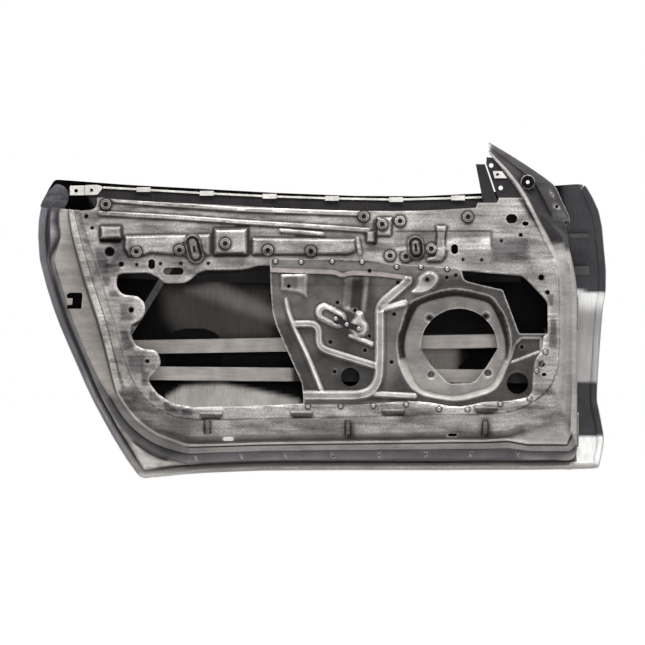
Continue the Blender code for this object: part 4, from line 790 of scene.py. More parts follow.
def wall_surface(step):
    """Points of the wall in columns round the door, and the column of each station."""
    keys = np.array([wall_keys(i) for i in range(len(STATIONS))])
    outer, inner = keys[:, -1], keys[:, 0]
    lengths = np.maximum(*[np.linalg.norm(np.diff(side, axis=0), axis=1) for side in (outer, inner)])
    place = np.concatenate(([0], np.cumsum(lengths)))
    slopes = np.empty_like(keys)
    slopes[1:-1] = (keys[2:] - keys[:-2]) / (place[2:] - place[:-2])[:, None, None]
    slopes[0] = (keys[1] - keys[0]) / lengths[0]
    slopes[-1] = (keys[-1] - keys[-2]) / lengths[-1]
    columns, at = [], [0]
    for i, length in enumerate(lengths):
        parts = max(2, math.ceil(length / step))
        for t in np.arange(parts) / parts:
            t2, t3 = t * t, t * t * t
            columns.append((2 * t3 - 3 * t2 + 1) * keys[i] + (t3 - 2 * t2 + t) * length * slopes[i]
                           + (3 * t2 - 2 * t3) * keys[i + 1] + (t3 - t2) * length * slopes[i + 1])
        at.append(len(columns))
    columns.append(keys[-1])
    return np.array([eased_rows(column, WALL_EASE) for column in columns]), at


def wall_band(kinds, low, high):
    """The outline of the wall between two of its bends, counted from the plate's edge, over stations of
    some kinds."""
    sides = [[], []]
    for index, station in enumerate(STATIONS):
        if station[2] in kinds or STATIONS[index - 1][2] in kinds:
            bends = np.array(wall_keys(index))[:, (0, 2)]
            for side, bend in zip(sides, (low, high)):
                side.append(tuple(np.interp(bend, range(len(bends)), bends[:, k]) for k in (0, 1)))
    return sides[0] + sides[1][::-1]


def hem_band(near, far):
    """The outline of the strip between two distances from the door's outer edge."""
    sides = [[], []]
    for start, end, kind in STATIONS:
        if kind in HEMMED:
            back = np.subtract(start, end) / math.dist(start, end)
            for side, distance in zip(sides, (near, far)):
                side.append(tuple(end + back * distance))
    return sides[0] + sides[1][::-1]


def raised(points, forms, height):
    """The heights with pads and pockets laid over them."""
    for outline, rise, slope in forms:
        height = height + (rise - height) * ramp(reach_in(points, outline), 0, slope)
    return height


def form_guides(forms, spacing):
    """Guides along the foot, middle and top of each pad's slope."""
    guides = []
    for form, _, slope in forms:
        guides += rails(form, (0, slope / 2, slope), spacing, closed=True)
    return guides


def bead_guides(beads, spacing):
    """Guides along the top, middle and foot of the slopes of each rib or bead."""
    guides = []
    for line, half, _, slope in beads:
        for reach in (half, half + slope / 2, half + slope):
            guides += rails(line, (-reach, reach), spacing)
    return guides


BELT_FADE = 5
RING_HEIGHT = 0.6
RING_WIDTH = 1.4


def plate_depth(points, edge):
    """The face of the plate: raised pads, ribs and bosses come towards the cabin."""
    height = raised(points, RELIEF, np.zeros(len(points)))
    for line, half, rise, slope in RIBS:
        share = ramp(half + slope - from_line(points, line), 0, slope)
        height = np.maximum(height, rise * share)
    for place, length, width, tilt, _ in OVAL_BOSSES:
        reach = reach_in(points, slot(place, length, width, tilt))
        height = np.where(reach > 0, np.interp(reach, OVAL_INSETS, OVAL_RISES), height)
    for place, radius in PLAIN_RINGS:
        gap = away(points, place)
        height += RING_HEIGHT * ramp(RING_WIDTH - abs(gap - radius + 1), 0, 1)
    for place in BOSSES:
        gap = away(points, place)
        near = gap < BOSS_RADII[-1]
        height[near] += np.interp(gap[near], BOSS_RADII, BOSS_RISES)
    height *= ramp(from_line(points, edge), 0, BELT_FADE)
    rim = np.clip(-reach_in(points, EASED_OPENING) / OPENING_LIP, 0, 1)
    height -= OPENING_LIP * (1 - np.sqrt(1 - (1 - rim) ** 2))
    return -height


def frame_plate(edge, spacing):
    belt = [tuple(map(float, p)) for p in BELT_EDGE[::-1]]
    outline = edge + resampled([edge[-1]] + belt + [edge[0]], spacing, closed=False)[1:-1]
    holes = [resampled(EASED_OPENING, spacing)]
    holes += [circle(place, radius, 20) for place, radius in FRAME_HOLES]
    holes += [slot(*values) for values in FRAME_SLOTS]
    holes += [circle(place, RIVET_HOLE, 16) for place in TOP_RIVETS + EDGE_RIVETS]
    holes += [slot(place, opening, 5, tilt) for place, _, _, tilt, opening in OVAL_BOSSES]
    guides = bead_guides(RIBS, spacing)
    for place in BOSSES:
        guides += [(circle(place, radius), True) for radius in BOSS_RADII[1:]]
    guides += form_guides(RELIEF, spacing)
    for place, length, width, tilt, _ in OVAL_BOSSES:
        for inset in OVAL_INSETS:
            guides.append((slot(place, length - 2 * inset, width - 2 * inset, tilt), True))
    return sheet(outline, holes, guides, spacing, lambda points: plate_depth(points, edge))


def frame_additions():
    """The sill's lips and stems, the ear of the rear seal flange, the hinge pads and the grommet's boss."""
    shapes = []
    for x, z in SILL_LIPS:
        profile = [(depth, z + height) for depth, height in LIP_PROFILE]
        lip = prism(profile, "x", x - LIP_HALF, x + LIP_HALF)
        for vert in lip.verts:
            vert.co.x += (x - vert.co.x) / LIP_HALF * np.interp(vert.co.z - z, *LIP_TAPER)
        shapes.append(lip)
    for x in SILL_STEMS:
        stem = prism(STEM_PROFILE, "x", x - STEM_HALF, x + STEM_HALF)
        for vert in stem.verts:
            if vert.co.y - (STEM_TOP - vert.co.z) / 3 > 9:  # its root, twice as wide as its edge
                vert.co.x = 2 * vert.co.x - x
        shapes.append(stem)
    ear = prism(rounded(REAR_EAR, 8), "y", -SKIN_SEAT - CASTING_WALL, -SKIN_SEAT)
    for vert in ear.verts:
        vert.co.y += skin_depth(vert.co.x, vert.co.z)
    shapes.append(ear)
    for z in HINGE_PADS:
        pad = rounded(box((HINGE_PAD_Y, z), HINGE_PAD_WIDTH, HINGE_PAD_HEIGHT), 8)
        shapes.append(prism(pad, "x", HINGE_FACE_X - HINGE_PAD_SUNK, HINGE_FACE_X + HINGE_PAD_PROUD))
    ring = [(GROMMET_BORE, 5.0), (16.6, 5.0), (17.5, 6.0), (17.5, 20), (GROMMET_BORE, 20)]
    shapes.append(turned(GROMMET_PLACE, ring))
    return shapes


def frame_cuts():
    """The holes of the hinge wall, the grommet's bore, the latch opening and the holes of sill and flag."""
    bolts = [(HINGE_PAD_Y, z + side * HINGE_BOLT_SPREAD) for z in HINGE_PADS for side in (-1, 1)]
    through = [circle(place, HINGE_BOLT_RADIUS) for place in bolts]
    through.append(circle((HINGE_PAD_Y, HARNESS_HOLE_Z), HARNESS_HOLE_RADIUS))
    through.append(rounded(box((HINGE_PAD_Y, STRAP_SLOT_Z), STRAP_SLOT_SIDE, STRAP_SLOT_SIDE), 4))
    shapes = [prism(hole, "x", HINGE_FACE_X - 12, HINGE_FACE_X + 6) for hole in through]
    shapes.append(prism(circle(GROMMET_PLACE, GROMMET_BORE), "y", 0, 40))
    shapes.append(prism(LATCH_OPENING, "y", 40, 80))
    shapes += [prism(slot(place, 22, 7), "y", 10, 45) for place in OVALS]
    shapes += [prism(circle(place, radius, 16), "y", 10, 40) for place, radius in FLAG_HOLES]
    shapes += [prism(circle(place, SILL_HOLE_RADIUS, 12), "y", 40, 92) for place in SILL_HOLES]
    return shapes


def band(kinds, low, high, code, soft, strength):
    """A zone of the wall between two of its bends."""
    return wall_band(kinds, low, high), code, soft, strength


REAR, CORNER, SILL = ("rear top", "rear"), ("corner",), ("sill", "front corner")
LOW, FRONT = CORNER + SILL, ("front", "front top", "flag")
FRAME_TONES = [  # bands between bends of the wall, and a few outlines
    band(REAR, 0.5, 5.6, "#d2cec9", 2, 1.0),
    band(REAR, 9.6, 14.6, "#57545a", 2, 1.0),
    band(LOW, 0.4, 3.2, "#bcb8b6", 3, 1.0),
    band(("corner", "sill"), 3.2, 4.6, "#8f8b89", 2, 1.0),
    band(CORNER, 0.0, 10, "#827e7c", 14, 0.7),
    band(CORNER, 5.0, 5.8, "#d6d2cd", 1.5, 0.8),
    # a painted highlight on the sill's rib, where it faces up
    band(SILL, 4.8, 6.0, "#d2cecb", 0.8, 1.0),
    band(SILL, 7.6, 9.2, "#a5a19f", 1.2, 1.0),
    # painted shade on the lower slope of the wall, which faces down
    band(LOW, 9.8, 12.2, "#5c595d", 2, 1.0),
    band(CORNER, 9.4, 11.5, "#343136", 3, 1.0),
    # painted light on the flange in the corner, far lighter than the casting
    band(CORNER, 12, 15, "#f3efea", 1, 1.0),
    band(("front",), 0.0, 15, "#cdc9c6", 4, 1.0),
    ([(392, 790), (404, 812), (600, 668), (606, 560), (540, 560), (470, 664)], "#444244", 5, 1.0),
    band(("flag",), 9.2, 16, "#4f4d4d", 2, 1.0),
    band(("front top",), 7, 16, "#5b5959", 4, 1.0),
    band(FRONT, 1, 3, "#d0ccc8", 2, 0.8),
    # the pocket: painted shade across it and a painted pool of light at its lower end
    (POCKET, "#8b8785", 3, 0.9),
    ([(290, 572), (403, 575), (405, 553), (290, 550)], "#e4e0dd", 5, 0.9),
]
FRAME_LINES = [
    band(REAR, 6.3, 7.1, "#2f2d2e", 0.8, 0.8),
    band(REAR, 2.7, 3.4, "#6b6866", 0.8, 0.8),
    # painted shade in the downward steps of the sill
    band(SILL, 6.4, 7.5, "#1f1d1e", 0.8, 1.0),
    band(LOW, 9.3, 9.9, "#302e2f", 0.8, 0.9),
    band(("flag",), 8.7, 9.2, "#1f1e1f", 0.8, 0.9),
    band(REAR + LOW + FRONT + ("flag tip",), -0.2, 0.2, "#1d1b1c", 0.8, 0.9),
    # painted light over the front corner's bevel, which faces down
    band(("front corner",), 1.2, 5.2, "#aeaaa7", 6, 0.75),
    band(REAR, 7.5, 9.4, "#b2aca6", 3, 0.9),
    # painted shade along the opening's rim, dimming its highlight
    strip(OPENING + OPENING[:1], 2.2, "#96928f", 1.2, 0.7),
    # the pocket's edges: a painted highlight along its foot and painted shade at its end
    ([(176, 549), (405, 552), (405, 547), (176, 544)], "#e8e5e2", 1.5, 0.7),
    (area(403, 550, 409, 592), "#3a3839", 1.5, 0.7),
    # the dark seam under the hem's edge, partly a painted shadow of that edge
    (hem_band(16, 20.5), "#151416", 1.0, 1.0),
    ([(-702, 640), (-632, 640), (-610, 660), (-606, 716), (-702, 716)], "#55535a", 1, 0.9),
    band(("flag", "flag tip"), 13, 16, "#4a4849", 2, 0.9),
    # painted shadow under the rear block
    (area(-536, 561, -482, 571), "#0f0e0f", 1.5, 1.0),
    (area(120, 556, 130, 620), "#2a2829", 2, 0.8),
    # painted shade under the pocket's top edge
    (area(176, 588, 403, 592), "#3a3839", 1.5, 0.9),
    # painted shadows under the lower edges of two pads
    (area(-262, 528, -178, 533), "#2b292a", 1.5, 0.8),
    ([(-170, 534), (60, 535), (60, 530), (-170, 529)], "#343233", 1.5, 0.7),
]
CALM = [wall_band(kinds, low, 16) for kinds, low in ((REAR, 5.5), (CORNER, 5), (SILL, 4.6), (FRONT, 1))]
SMUDGES = [  # darker square patches of the casting: x, z, width and height
    (-500, 440, 24, 14), (-469, 327, 31, 50), (-447, 270, 43, 45), (-403, 194, 28, 28),
    (-366, 170, 28, 24), (-325, 158, 26, 20), (-520, 470, 18, 24), (-424, 236, 20, 34),
    (450, 545, 90, 60), (-480, 545, 50, 60), (-530, 520, 30, 60), (-470, 395, 30, 40), (-505, 500, 40, 24),
    (553, 345, 18, 70), (546, 425, 16, 30),
]
BOSS_TONES = [  # radius and colour: painted shade in the moat, at the step and in the bore, painted highlights on the ring faces and the centre
    (15, "#232122"), (12.9, "#bfbbb7"), (10, "#1f1d1e"), (8.4, "#d2cecb"), (6, "#0b0a0b"), (1.2, "#b5b1ae"),
]
OVAL_TONES = [(-2, "#4a4848"), (0.5, "#a19d9b"), (3.5, "#3a3839"), (11, "#96928f")]  # inset and colour: painted shade round the boss and in its groove


def frame_zones():
    """The broad tones of the casting: painted shade round its relief and ribs and painted highlights on them,
    then on its wall and in patches.
    """
    zones = []
    for form, _, _ in RELIEF:
        painted_shade_ring = rails(form, (-3,), 8, closed=True)[0][0]
        zones += [(painted_shade_ring, "#3a3838", 2.5, 0.6), (form, "#aaa6a3", 2, 0.9)]
    for line, half, _, slope in RIBS:
        zones += [strip(line, half + slope + 2.5, "#4a4848", 2, 0.6),
                  strip(line, half + slope, "#b9b5b2", 1, 0.9), strip(line, half - 0.5, "#7f7b79", 1.2, 0.8)]
    zones += FRAME_TONES
    return zones + [(box((x, z), w, h), "#4c4a4c", min(w, h) / 6, 0.75) for x, z, w, h in SMUDGES]


def frame_lines():
    """The fine tones of the casting: painted shadow lines and highlights, rings of painted shade and light on
    the bosses, and halos round holes and lips.
    """
    lines = list(FRAME_LINES)
    lines += [(circle(place, radius), code, 0.5, 0.9) for place in BOSSES for radius, code in BOSS_TONES]
    lines += [(slot(place, length - 2 * inset, width - 2 * inset, tilt), code, 1.5, 0.8)
              for place, length, width, tilt, _ in OVAL_BOSSES for inset, code in OVAL_TONES]
    lines += spots(EDGE_RIVETS, 8, "#1d1b1c", 1.5, 0.9)
    lines += [(circle(place, radius + 1.5), "#1b1a1b", 0.8, 0.9) for place, radius in FRAME_HOLES]
    for x, z in SILL_LIPS:
        # each lip: darker, with a painted shadow under it and a painted highlight on its top
        lines += [(box((x, z - 1), 58, 16), "#6b6867", 1, 0.9), (box((x, z - 9), 46, 5), "#1f1e1f", 1.5, 0.9),
                  (box((x, z + 5), 52, 3), "#b9b5b2", 1, 0.8)]
    for x in SILL_STEMS:
        # each stem: painted shade on its sides and round it
        middle = (x, (STEM_TOP + STEM_FOOT) / 2 + 1)
        lines += [(box(middle, 20, 34), "#2f2d2e", 1.0, 0.9), (box(middle, 8.6, 32), "#a09c99", 0.4, 1.0)]
    return lines


def build_inner_frame():
    spacing = 3.8
    columns, at = wall_surface(9.0)
    inner_ends = [station[0] for station in STATIONS]
    stop = at[next(i for i, (x, z) in enumerate(inner_ends) if z > BELT_END_HEIGHT and x > 0)]
    edge = [(float(c[0][0]), float(c[0][2])) for c in columns[: stop + 1]]
    bm = joined([frame_plate(edge, spacing), grid_surface(columns)])
    bmesh.ops.remove_doubles(bm, verts=bm.verts[:], dist=SEAM)
    face_cabin(bm)
    made = thickened(bm, "inner_frame_look", CASTING_WALL)
    combined(made, "UNION", frame_additions())
    combined(made, "DIFFERENCE", frame_cuts())
    paint(made, "#a5a19f", frame_zones(), frame_lines(), CALM)
    piece(made, CAST, "cast_aluminium", "inner_frame", sharp=38)


build_inner_frame()

# Outer skin: one pressed aluminium panel, folded back round the frame's flange in a hem on every
# side but the belt

FRONT_EDGE = [
    (672, 16), (682, 59), (686, 81), (685, 100), (676, 152), (670, 180), (671, 211), (678, 314),
    (685, 406), (692, 450), (692, 499), (686, 556), (681, 604), (672, 643), (655, 678), (639, 704),
]
BELT_TOP = [
    (621, 707), (562, 703), (386, 685), (238, 678), (77, 679), (-111, 686), (-298, 696),
    (-469, 705), (-594, 714), (-650, 718), (-667, 692),
]
HEM_ROLL = 1.9
FRONT_PAINTED_REFLECTIONS = [  # outline, colour and soft edge, of the strip before the frame: painted reflections and painted shade on its glossy curve
    ([(604, 222), (604, 460), (700, 450), (700, 222)], "#a9a7a6", 2),
    (area(604, 408, 700, 470), "#fbfbf9", 22),
    ([(604, 451), (604, 720), (700, 720), (700, 441)], "#48474a", 1.5),
    (area(584, 540, 650, 730), "#48474a", 12),
    (area(604, 96, 700, 226), "#414042", 4),
    (area(604, 0, 700, 94), "#e9e8e6", 1.5),
]
HEM_TONES = [
    ([(-720, 190), (-560, 190), (-600, 760), (-720, 760)], "#7a787e", 20),
    ([(-600, 60), (-440, 60), (-540, 240), (-640, 240)], "#8d8a8f", 18),
    ([(-720, -20), (720, -20), (720, 9), (-720, 3)], "#c9c6c3", 2),
] + FRONT_PAINTED_REFLECTIONS + [(area(596, -20, 700, 26), "#a19e9b", 2)]
# The skin's inside, seen through the openings: painted light where light reaches in, and painted shade in the
# slot under the belt
INSIDE_PAINTED_LIGHT = [
    ([(-395, 455), (-130, 450), (-120, 335), (-330, 320), (-380, 380)], "#45423f", 24),
    ([(-330, 450), (-260, 470), (-110, 400), (-110, 370), (-200, 400)], "#6f6b68", 16),
    ([(-420, 10), (-380, 190), (-340, 215), (-250, 222), (-120, 196), (-60, 182), (-48, 150), (-48, 10)],
     "#c3bfb9", 8),
    (area(180, 240, 330, 330), "#7a7672", 14),
    ([(-640, 640), (-640, 740), (568, 740), (568, 690), (300, 664), (0, 660), (-300, 670)], "#0c0c0d", 4),
] + FRONT_PAINTED_REFLECTIONS


def hem_profile():
    """How far in from the door's edge and how deep the hem lies, from the panel to its cut edge."""
    fold = CASTING_WALL + SKIN_SEAT + GAP
    steps = [(SKIN_SHEET + HEM_ROLL, 0.0)]
    steps += [(SKIN_SHEET + HEM_ROLL * (1 - math.sin(a)), -fold * (1 - math.cos(a)) / 2)
              for a in np.linspace(0, math.pi, 7)[1:]]
    steps += [(SKIN_SHEET + 6.0, -fold), (HEM_WIDTH - 0.8, -fold), (HEM_WIDTH, -fold + 0.6)]
    return np.array(steps)


def paint_skin(obj, hemmed):
    """Stores the skin's tones: bare outside, painted shade inside with patches of painted light, and bare
    where it is folded back.
    """
    places = corners_of(obj.data)
    flat, depth = places[:, (0, 2)], places[:, 1] - skin_depth(places[:, 0], places[:, 2])
    paint(obj, "#aaa7a4", [])
    layer = obj.data.attributes["tone"]
    colours = np.empty(len(places) * 4)
    layer.data.foreach_get("color", colours)
    colours = colours.reshape(-1, 4)
    from_edge = from_line(flat, hemmed)
    within = ramp(depth, -1.0, -0.6) * (1 - ramp(depth, 0.2, 0.6)) * ramp(from_edge, 4, 12)
    folded = (1 - ramp(depth, -1.2, -0.8)) * ramp(from_edge, 0.5, 2.5)
    # the inside is painted near black as painted shade
    for share, base, tones in ((within, "#131214", INSIDE_PAINTED_LIGHT), (folded, "#9a9794", HEM_TONES)):
        laid = np.tile(tone(base), (len(places), 1))
        for outline, code, soft in tones:
            part = ramp(reach_in(flat, outline), -soft, soft)[:, None]
            laid += (np.array(tone(code)) - laid) * part
        colours += (laid - colours) * share[:, None]
    layer.data.foreach_set("color", colours.ravel())


def build_outer_skin():
    spacing = 9.0
    hemmed = [station[1] for station in STATIONS if station[2] in HEMMED] + FRONT_EDGE
    edge = np.array(resampled(rounded(hemmed + BELT_TOP, 9), spacing))
    run = np.roll(edge, -1, axis=0) - np.roll(edge, 1, axis=0)
    inner = np.column_stack((-run[:, 1], run[:, 0])) / np.linalg.norm(run, axis=1)[:, None]
    ends = [int(np.argmin(away(edge, end))) for end in (hemmed[0], hemmed[-1])]
    order = np.arange(ends[0], ends[1] + 1 + (ends[0] > ends[1]) * len(edge)) % len(edge)
    steps = hem_profile()
    hem = edge[order][:, None] + inner[order][:, None] * steps[None, :, :1]
    depth = skin_depth(hem[..., 0], hem[..., 1]) + steps[:, 1]
    folded = grid_surface(np.stack((hem[..., 0], depth, hem[..., 1]), axis=-1))
    edge[order] = hem[:, 0]
    panel = sheet(list(map(tuple, edge)), [], [], spacing, lambda p: skin_depth(p[:, 0], p[:, 1]))
    bm = joined([folded, panel])
    bmesh.ops.remove_doubles(bm, verts=bm.verts[:], dist=SEAM)
    bmesh.ops.recalc_face_normals(bm, faces=bm.faces[:])
    middle = max(bm.faces, key=lambda f: f.calc_center_median().y)
    if middle.normal.y < 0:
        bmesh.ops.reverse_faces(bm, faces=bm.faces[:])
    made = thickened(bm, "outer_skin_look", SKIN_SHEET, towards=1.0)
    paint_skin(made, hemmed)
    piece(made, SKIN, "skin_aluminium", "outer_skin", sharp=50)


build_outer_skin()

# Module carrier: one aluminium pressing with stiffening swages and the speaker's recess. It is riveted
# before the frame along the belt and steps back behind it along the sill

CARRIER_SHEET = 1.5
JOGGLE_TOP = 480.0
JOGGLE_FOOT = 458.0
CARRIER_FRONT = -GAP - CARRIER_SHEET
CARRIER_BACK = CASTING_WALL + GAP
CARRIER_OUTLINE = [
    (-126, 523), (43, 523), (127, 520), (154, 513), (186, 511), (321, 502), (333, 496), (339, 473),
    (351, 468), (418, 452), (433, 450), (438, 435), (455, 391), (472, 344), (546, 344), (546, 294),
    (526, 268), (511, 198), (494, 183), (449, 170), (388, 166), (348, 155), (280, 156), (213, 166),
    (126, 162), (-46, 162), (-46, 196), (-50, 226), (-70, 270), (-92, 320), (-110, 361), (-120, 396),
    (-124, 449),
]
RECESS_TOP = [
    (205, 416), (216, 424), (233, 431), (260, 441), (288, 449), (315, 453), (343, 450), (370, 444),
    (403, 435), (414, 426), (422, 412), (436, 394), (447, 366), (452, 340), (453, 313), (447, 277),
    (429, 233), (414, 211), (391, 200), (342, 186), (317, 184), (275, 190), (241, 197), (214, 214),
    (196, 242), (184, 272), (178, 305), (179, 341), (187, 358), (196, 393),
]
RECESS_FLOOR = [
    (232, 412), (254, 421), (280, 428), (307, 433), (326, 434), (353, 430), (390, 422), (405, 414),
    (416, 395), (427, 371), (440, 329), (442, 290), (425, 255), (413, 228), (401, 215), (377, 208),
    (344, 198), (318, 194), (276, 199), (242, 208), (229, 221), (213, 252), (202, 282), (197, 309),
    (200, 338), (206, 358), (215, 382),
]
RECESS_DEPTH = 26.0
EASED_TOP, EASED_FLOOR = rounded(RECESS_TOP, 9), rounded(RECESS_FLOOR, 9)
SPEAKER_PLACE = (329, 312)
SPEAKER_RADIUS = 92.5
SPEAKER_ARC = (-3, 183)  # its round upper part in degrees, closed below by the flats
SPEAKER_FLATS = [(262, 267), (299, 228), (311, 223), (358, 225), (370, 231), (395, 264)]
SPEAKER_SCREWS = [(258, 382), (394, 386), (262, 245), (399, 249)]
DIMPLE_DEPTH, DIMPLE_RADIUS = 3.5, 11  # round each speaker screw
RIM_HEIGHT, RIM_WIDTH = 1.2, 5  # round each large hole
PIN_RADIUS = 3.4
CARRIER_ROUND_HOLES = [((67, 240), 22.5), ((468, 225), 26.0)]
CARRIER_PIN_HOLES = [
    (-81, 458), (36, 419), (78, 400), (113, 338), (19, 324), (172, 391), (102, 304), (29, 253),
    (166, 276), (298, 479), (479, 312), (251, 474), (181, 467), (320, 484), (113, 495),
]
LINK_POINTS = [(32, 380), (58, 366), (87, 356)]
SEAT_TILT = -27
FRONT_SEAT = rounded([
    (64, 352), (68, 374), (78, 380), (80, 398), (98, 398), (98, 378), (110, 368), (111, 348), (98, 336),
    (76, 336),
], 9)
TEARDROP = rounded([
    (226, 478), (252, 497), (274, 492), (283, 474), (272, 453), (244, 438), (212, 438), (208, 446),
    (226, 458),
], 12)
PADS = [  # outline, height towards the cabin, width of its slope
    (slot((19, 388), 80, 44, SEAT_TILT), 8, 7),
    (slot((24, 384), 58, 22, SEAT_TILT), 3, 4),
    (FRONT_SEAT, 7, 6),
    (rounded([(-104, 490), (-32, 492), (-34, 426), (-56, 440), (-104, 446)], 8), 6, 9),
    (TEARDROP, 8, 6),
    (rounded([(55, 484), (112, 484), (98, 385), (48, 404)], 10), -6, 15),
    ([(449, 273), (524, 302), (524, 334), (478, 334), (462, 318)], -3.5, 5),
]
SWAGES = [  # line, half its flat width, height, width of its slope
    ([(-126, 496), (30, 491), (48, 482), (66, 489), (140, 486), (210, 476)], 4.5, 4, 2.5),
    ([(-88, 424), (-82, 395), (-66, 353), (-34, 286), (-2, 206)], 2.5, 6, 4),
    ([(-65, 367), (-23, 368), (-9, 356), (-9, 318), (3, 305), (128, 266)], 5.0, 7, 4),
    ([(-42, 195), (88, 195), (118, 205), (135, 232), (138, 290), (138, 412), (206, 470)], 7.5, 9, 5),
    ([(140, 404), (198, 418)], 4.0, 6, 5),
    ([(126, 199), (222, 194)], 3.5, 5, 4),
    ([(66, 340), (98, 328), (119, 318)], 2.5, 5, 4),
]
SWAGES = [(rounded(line, 18, 4, closed=False), *form) for line, *form in SWAGES]
TOP_BEAD = SWAGES[0][0]
# The carrier's own colour, a painted shade and a painted highlight
METAL, SHADE, PAINTED_HIGHLIGHT = "#4c4a49", "#2a2828", "#dedbd7"
SEAT_TONES = ((86, 50, SHADE, 3), (79, 43, PAINTED_HIGHLIGHT, 2), (62, 26, "#5f5c5b", 2))  # length, width, colour, edge: painted shade round the seat and a painted highlight on its rim
LOWER_RECESS = 285  # below this the recess's wall catches the light


def carrier_depth(points):
    """The face of the carrier."""
    height = np.zeros(len(points))
    for line, half, rise, slope in SWAGES:
        share = ramp(half + slope - from_line(points, line), 0, slope)
        height += (rise - height) * share
    height = raised(points, PADS, height)
    inside, beyond = reach_in(points, EASED_TOP), -reach_in(points, EASED_FLOOR)
    inside, beyond = np.maximum(inside, 0), np.maximum(beyond, 0)
    share = inside / np.maximum(inside + beyond, 1e-6)
    share = 0.4 * share + 0.6 * ramp(share, 0, 1)
    height += (-RECESS_DEPTH - height) * share
    for place in SPEAKER_SCREWS:
        height -= DIMPLE_DEPTH * ramp(DIMPLE_RADIUS - away(points, place), 0, 5)
    for place, radius in CARRIER_ROUND_HOLES:
        height += RIM_HEIGHT * ramp(radius + RIM_WIDTH - away(points, place), 0, 4)
    step = ramp(JOGGLE_TOP - points[:, 1], 0, JOGGLE_TOP - JOGGLE_FOOT)
    return CARRIER_FRONT + step * (CARRIER_BACK - CARRIER_FRONT) - height


def speaker_opening():
    turns = np.radians(np.linspace(*SPEAKER_ARC, 40))
    x, z = SPEAKER_PLACE
    arc = [(x + SPEAKER_RADIUS * math.cos(a), z + SPEAKER_RADIUS * math.sin(a)) for a in turns]
    return arc + resampled(SPEAKER_FLATS, 4, closed=False)


def carrier_zones():
    """The broad tones of the carrier: patches, painted shade and light in the recess, and painted shade
    beside the beads and seats with painted highlights on them.
    """
    lit_lower_wall = [p for p in EASED_TOP if p[1] < LOWER_RECESS]
    lit_lower_wall += [p for p in EASED_FLOOR if p[1] < LOWER_RECESS][::-1]
    zones = [
        ([(-126, 523), (330, 505), (333, 484), (-126, 500)], "#7c7977", 3, 0.8),
        ([(-46, 196), (180, 176), (180, 158), (-46, 158)], "#7c7977", 6, 0.8),
        ([(-126, 500), (-20, 490), (-20, 380), (-126, 380)], "#706d6d", 14, 0.8),
        ([(-40, 500), (60, 490), (30, 300), (-60, 300)], "#676463", 30, 0.7),
        ([(120, 500), (230, 490), (200, 300), (150, 180)], "#73706f", 16, 0.8),
        ([(-60, 492), (-34, 492), (-36, 428), (-60, 446)], "#908c8a", 3, 0.9),
        ([(58, 484), (72, 484), (64, 400), (52, 404)], "#918e8b", 4, 0.7),
        ([(74, 484), (98, 484), (92, 398), (68, 402)], "#3a3837", 5, 0.9),
        ([(99, 484), (110, 484), (103, 398), (94, 400)], "#8b8885", 4, 0.7),
        # the recess: painted shade on its upper walls and painted light on its lower wall
        (EASED_TOP, "#3f3d3c", 4, 1.0), (lit_lower_wall, "#cdc9c4", 5, 1.0), (EASED_FLOOR, "#938f8c", 2.5, 1.0),
    ]
    for line, half, _, slope in SWAGES[1:]:
        foot = half + slope
        # painted shade beside each bead and a painted highlight on it
        zones += [strip(line, foot + 3, SHADE, 3, 0.6), strip(line, foot - 0.5, PAINTED_HIGHLIGHT, 1.5, 0.9)]
        if half > 4:
            zones.append(strip(line, half - 1.5, "#918e8b", 1.5, 0.9))
    zones += [(slot((20, 387), length, width, SEAT_TILT), code, soft, 0.85)
              for length, width, code, soft in SEAT_TONES]
    zones += [(TEARDROP, "#b5b2ae", 2, 0.85), (slot((256, 478), 34, 22, 30), "#6b6867", 4, 0.8)]
    # painted shade round the front seat and a painted highlight on it
    zones += [(circle((90, 356), 25), SHADE, 3, 0.6), (FRONT_SEAT, PAINTED_HIGHLIGHT, 2, 0.8),
              (circle((88, 357), 14), "#8b8886", 3, 0.8)]
    return zones


def carrier_lines():
    """The fine tones of the carrier: its top bead and the halos round its holes."""
    lines = [strip(TOP_BEAD, 6, "#4a4746", 1, 0.8), strip(TOP_BEAD, 4.6, "#a89f9d", 1, 0.9)]
    lines += spots(TOP_RIVETS, 8, "#1b1a1c", 1.5, 0.9)
    lines += spots(CARRIER_PIN_HOLES, 6.5, METAL, 1.0, 0.8)
    lines += spots(CARRIER_PIN_HOLES, 4.3, "#0d0c0d", 0.8, 1.0)
    lines += [(circle(place, radius + 7), METAL, 2, 1.0) for place, radius in CARRIER_ROUND_HOLES]
    return lines + spots(SPEAKER_SCREWS, 8, "#3a383b", 1.5, 0.9)


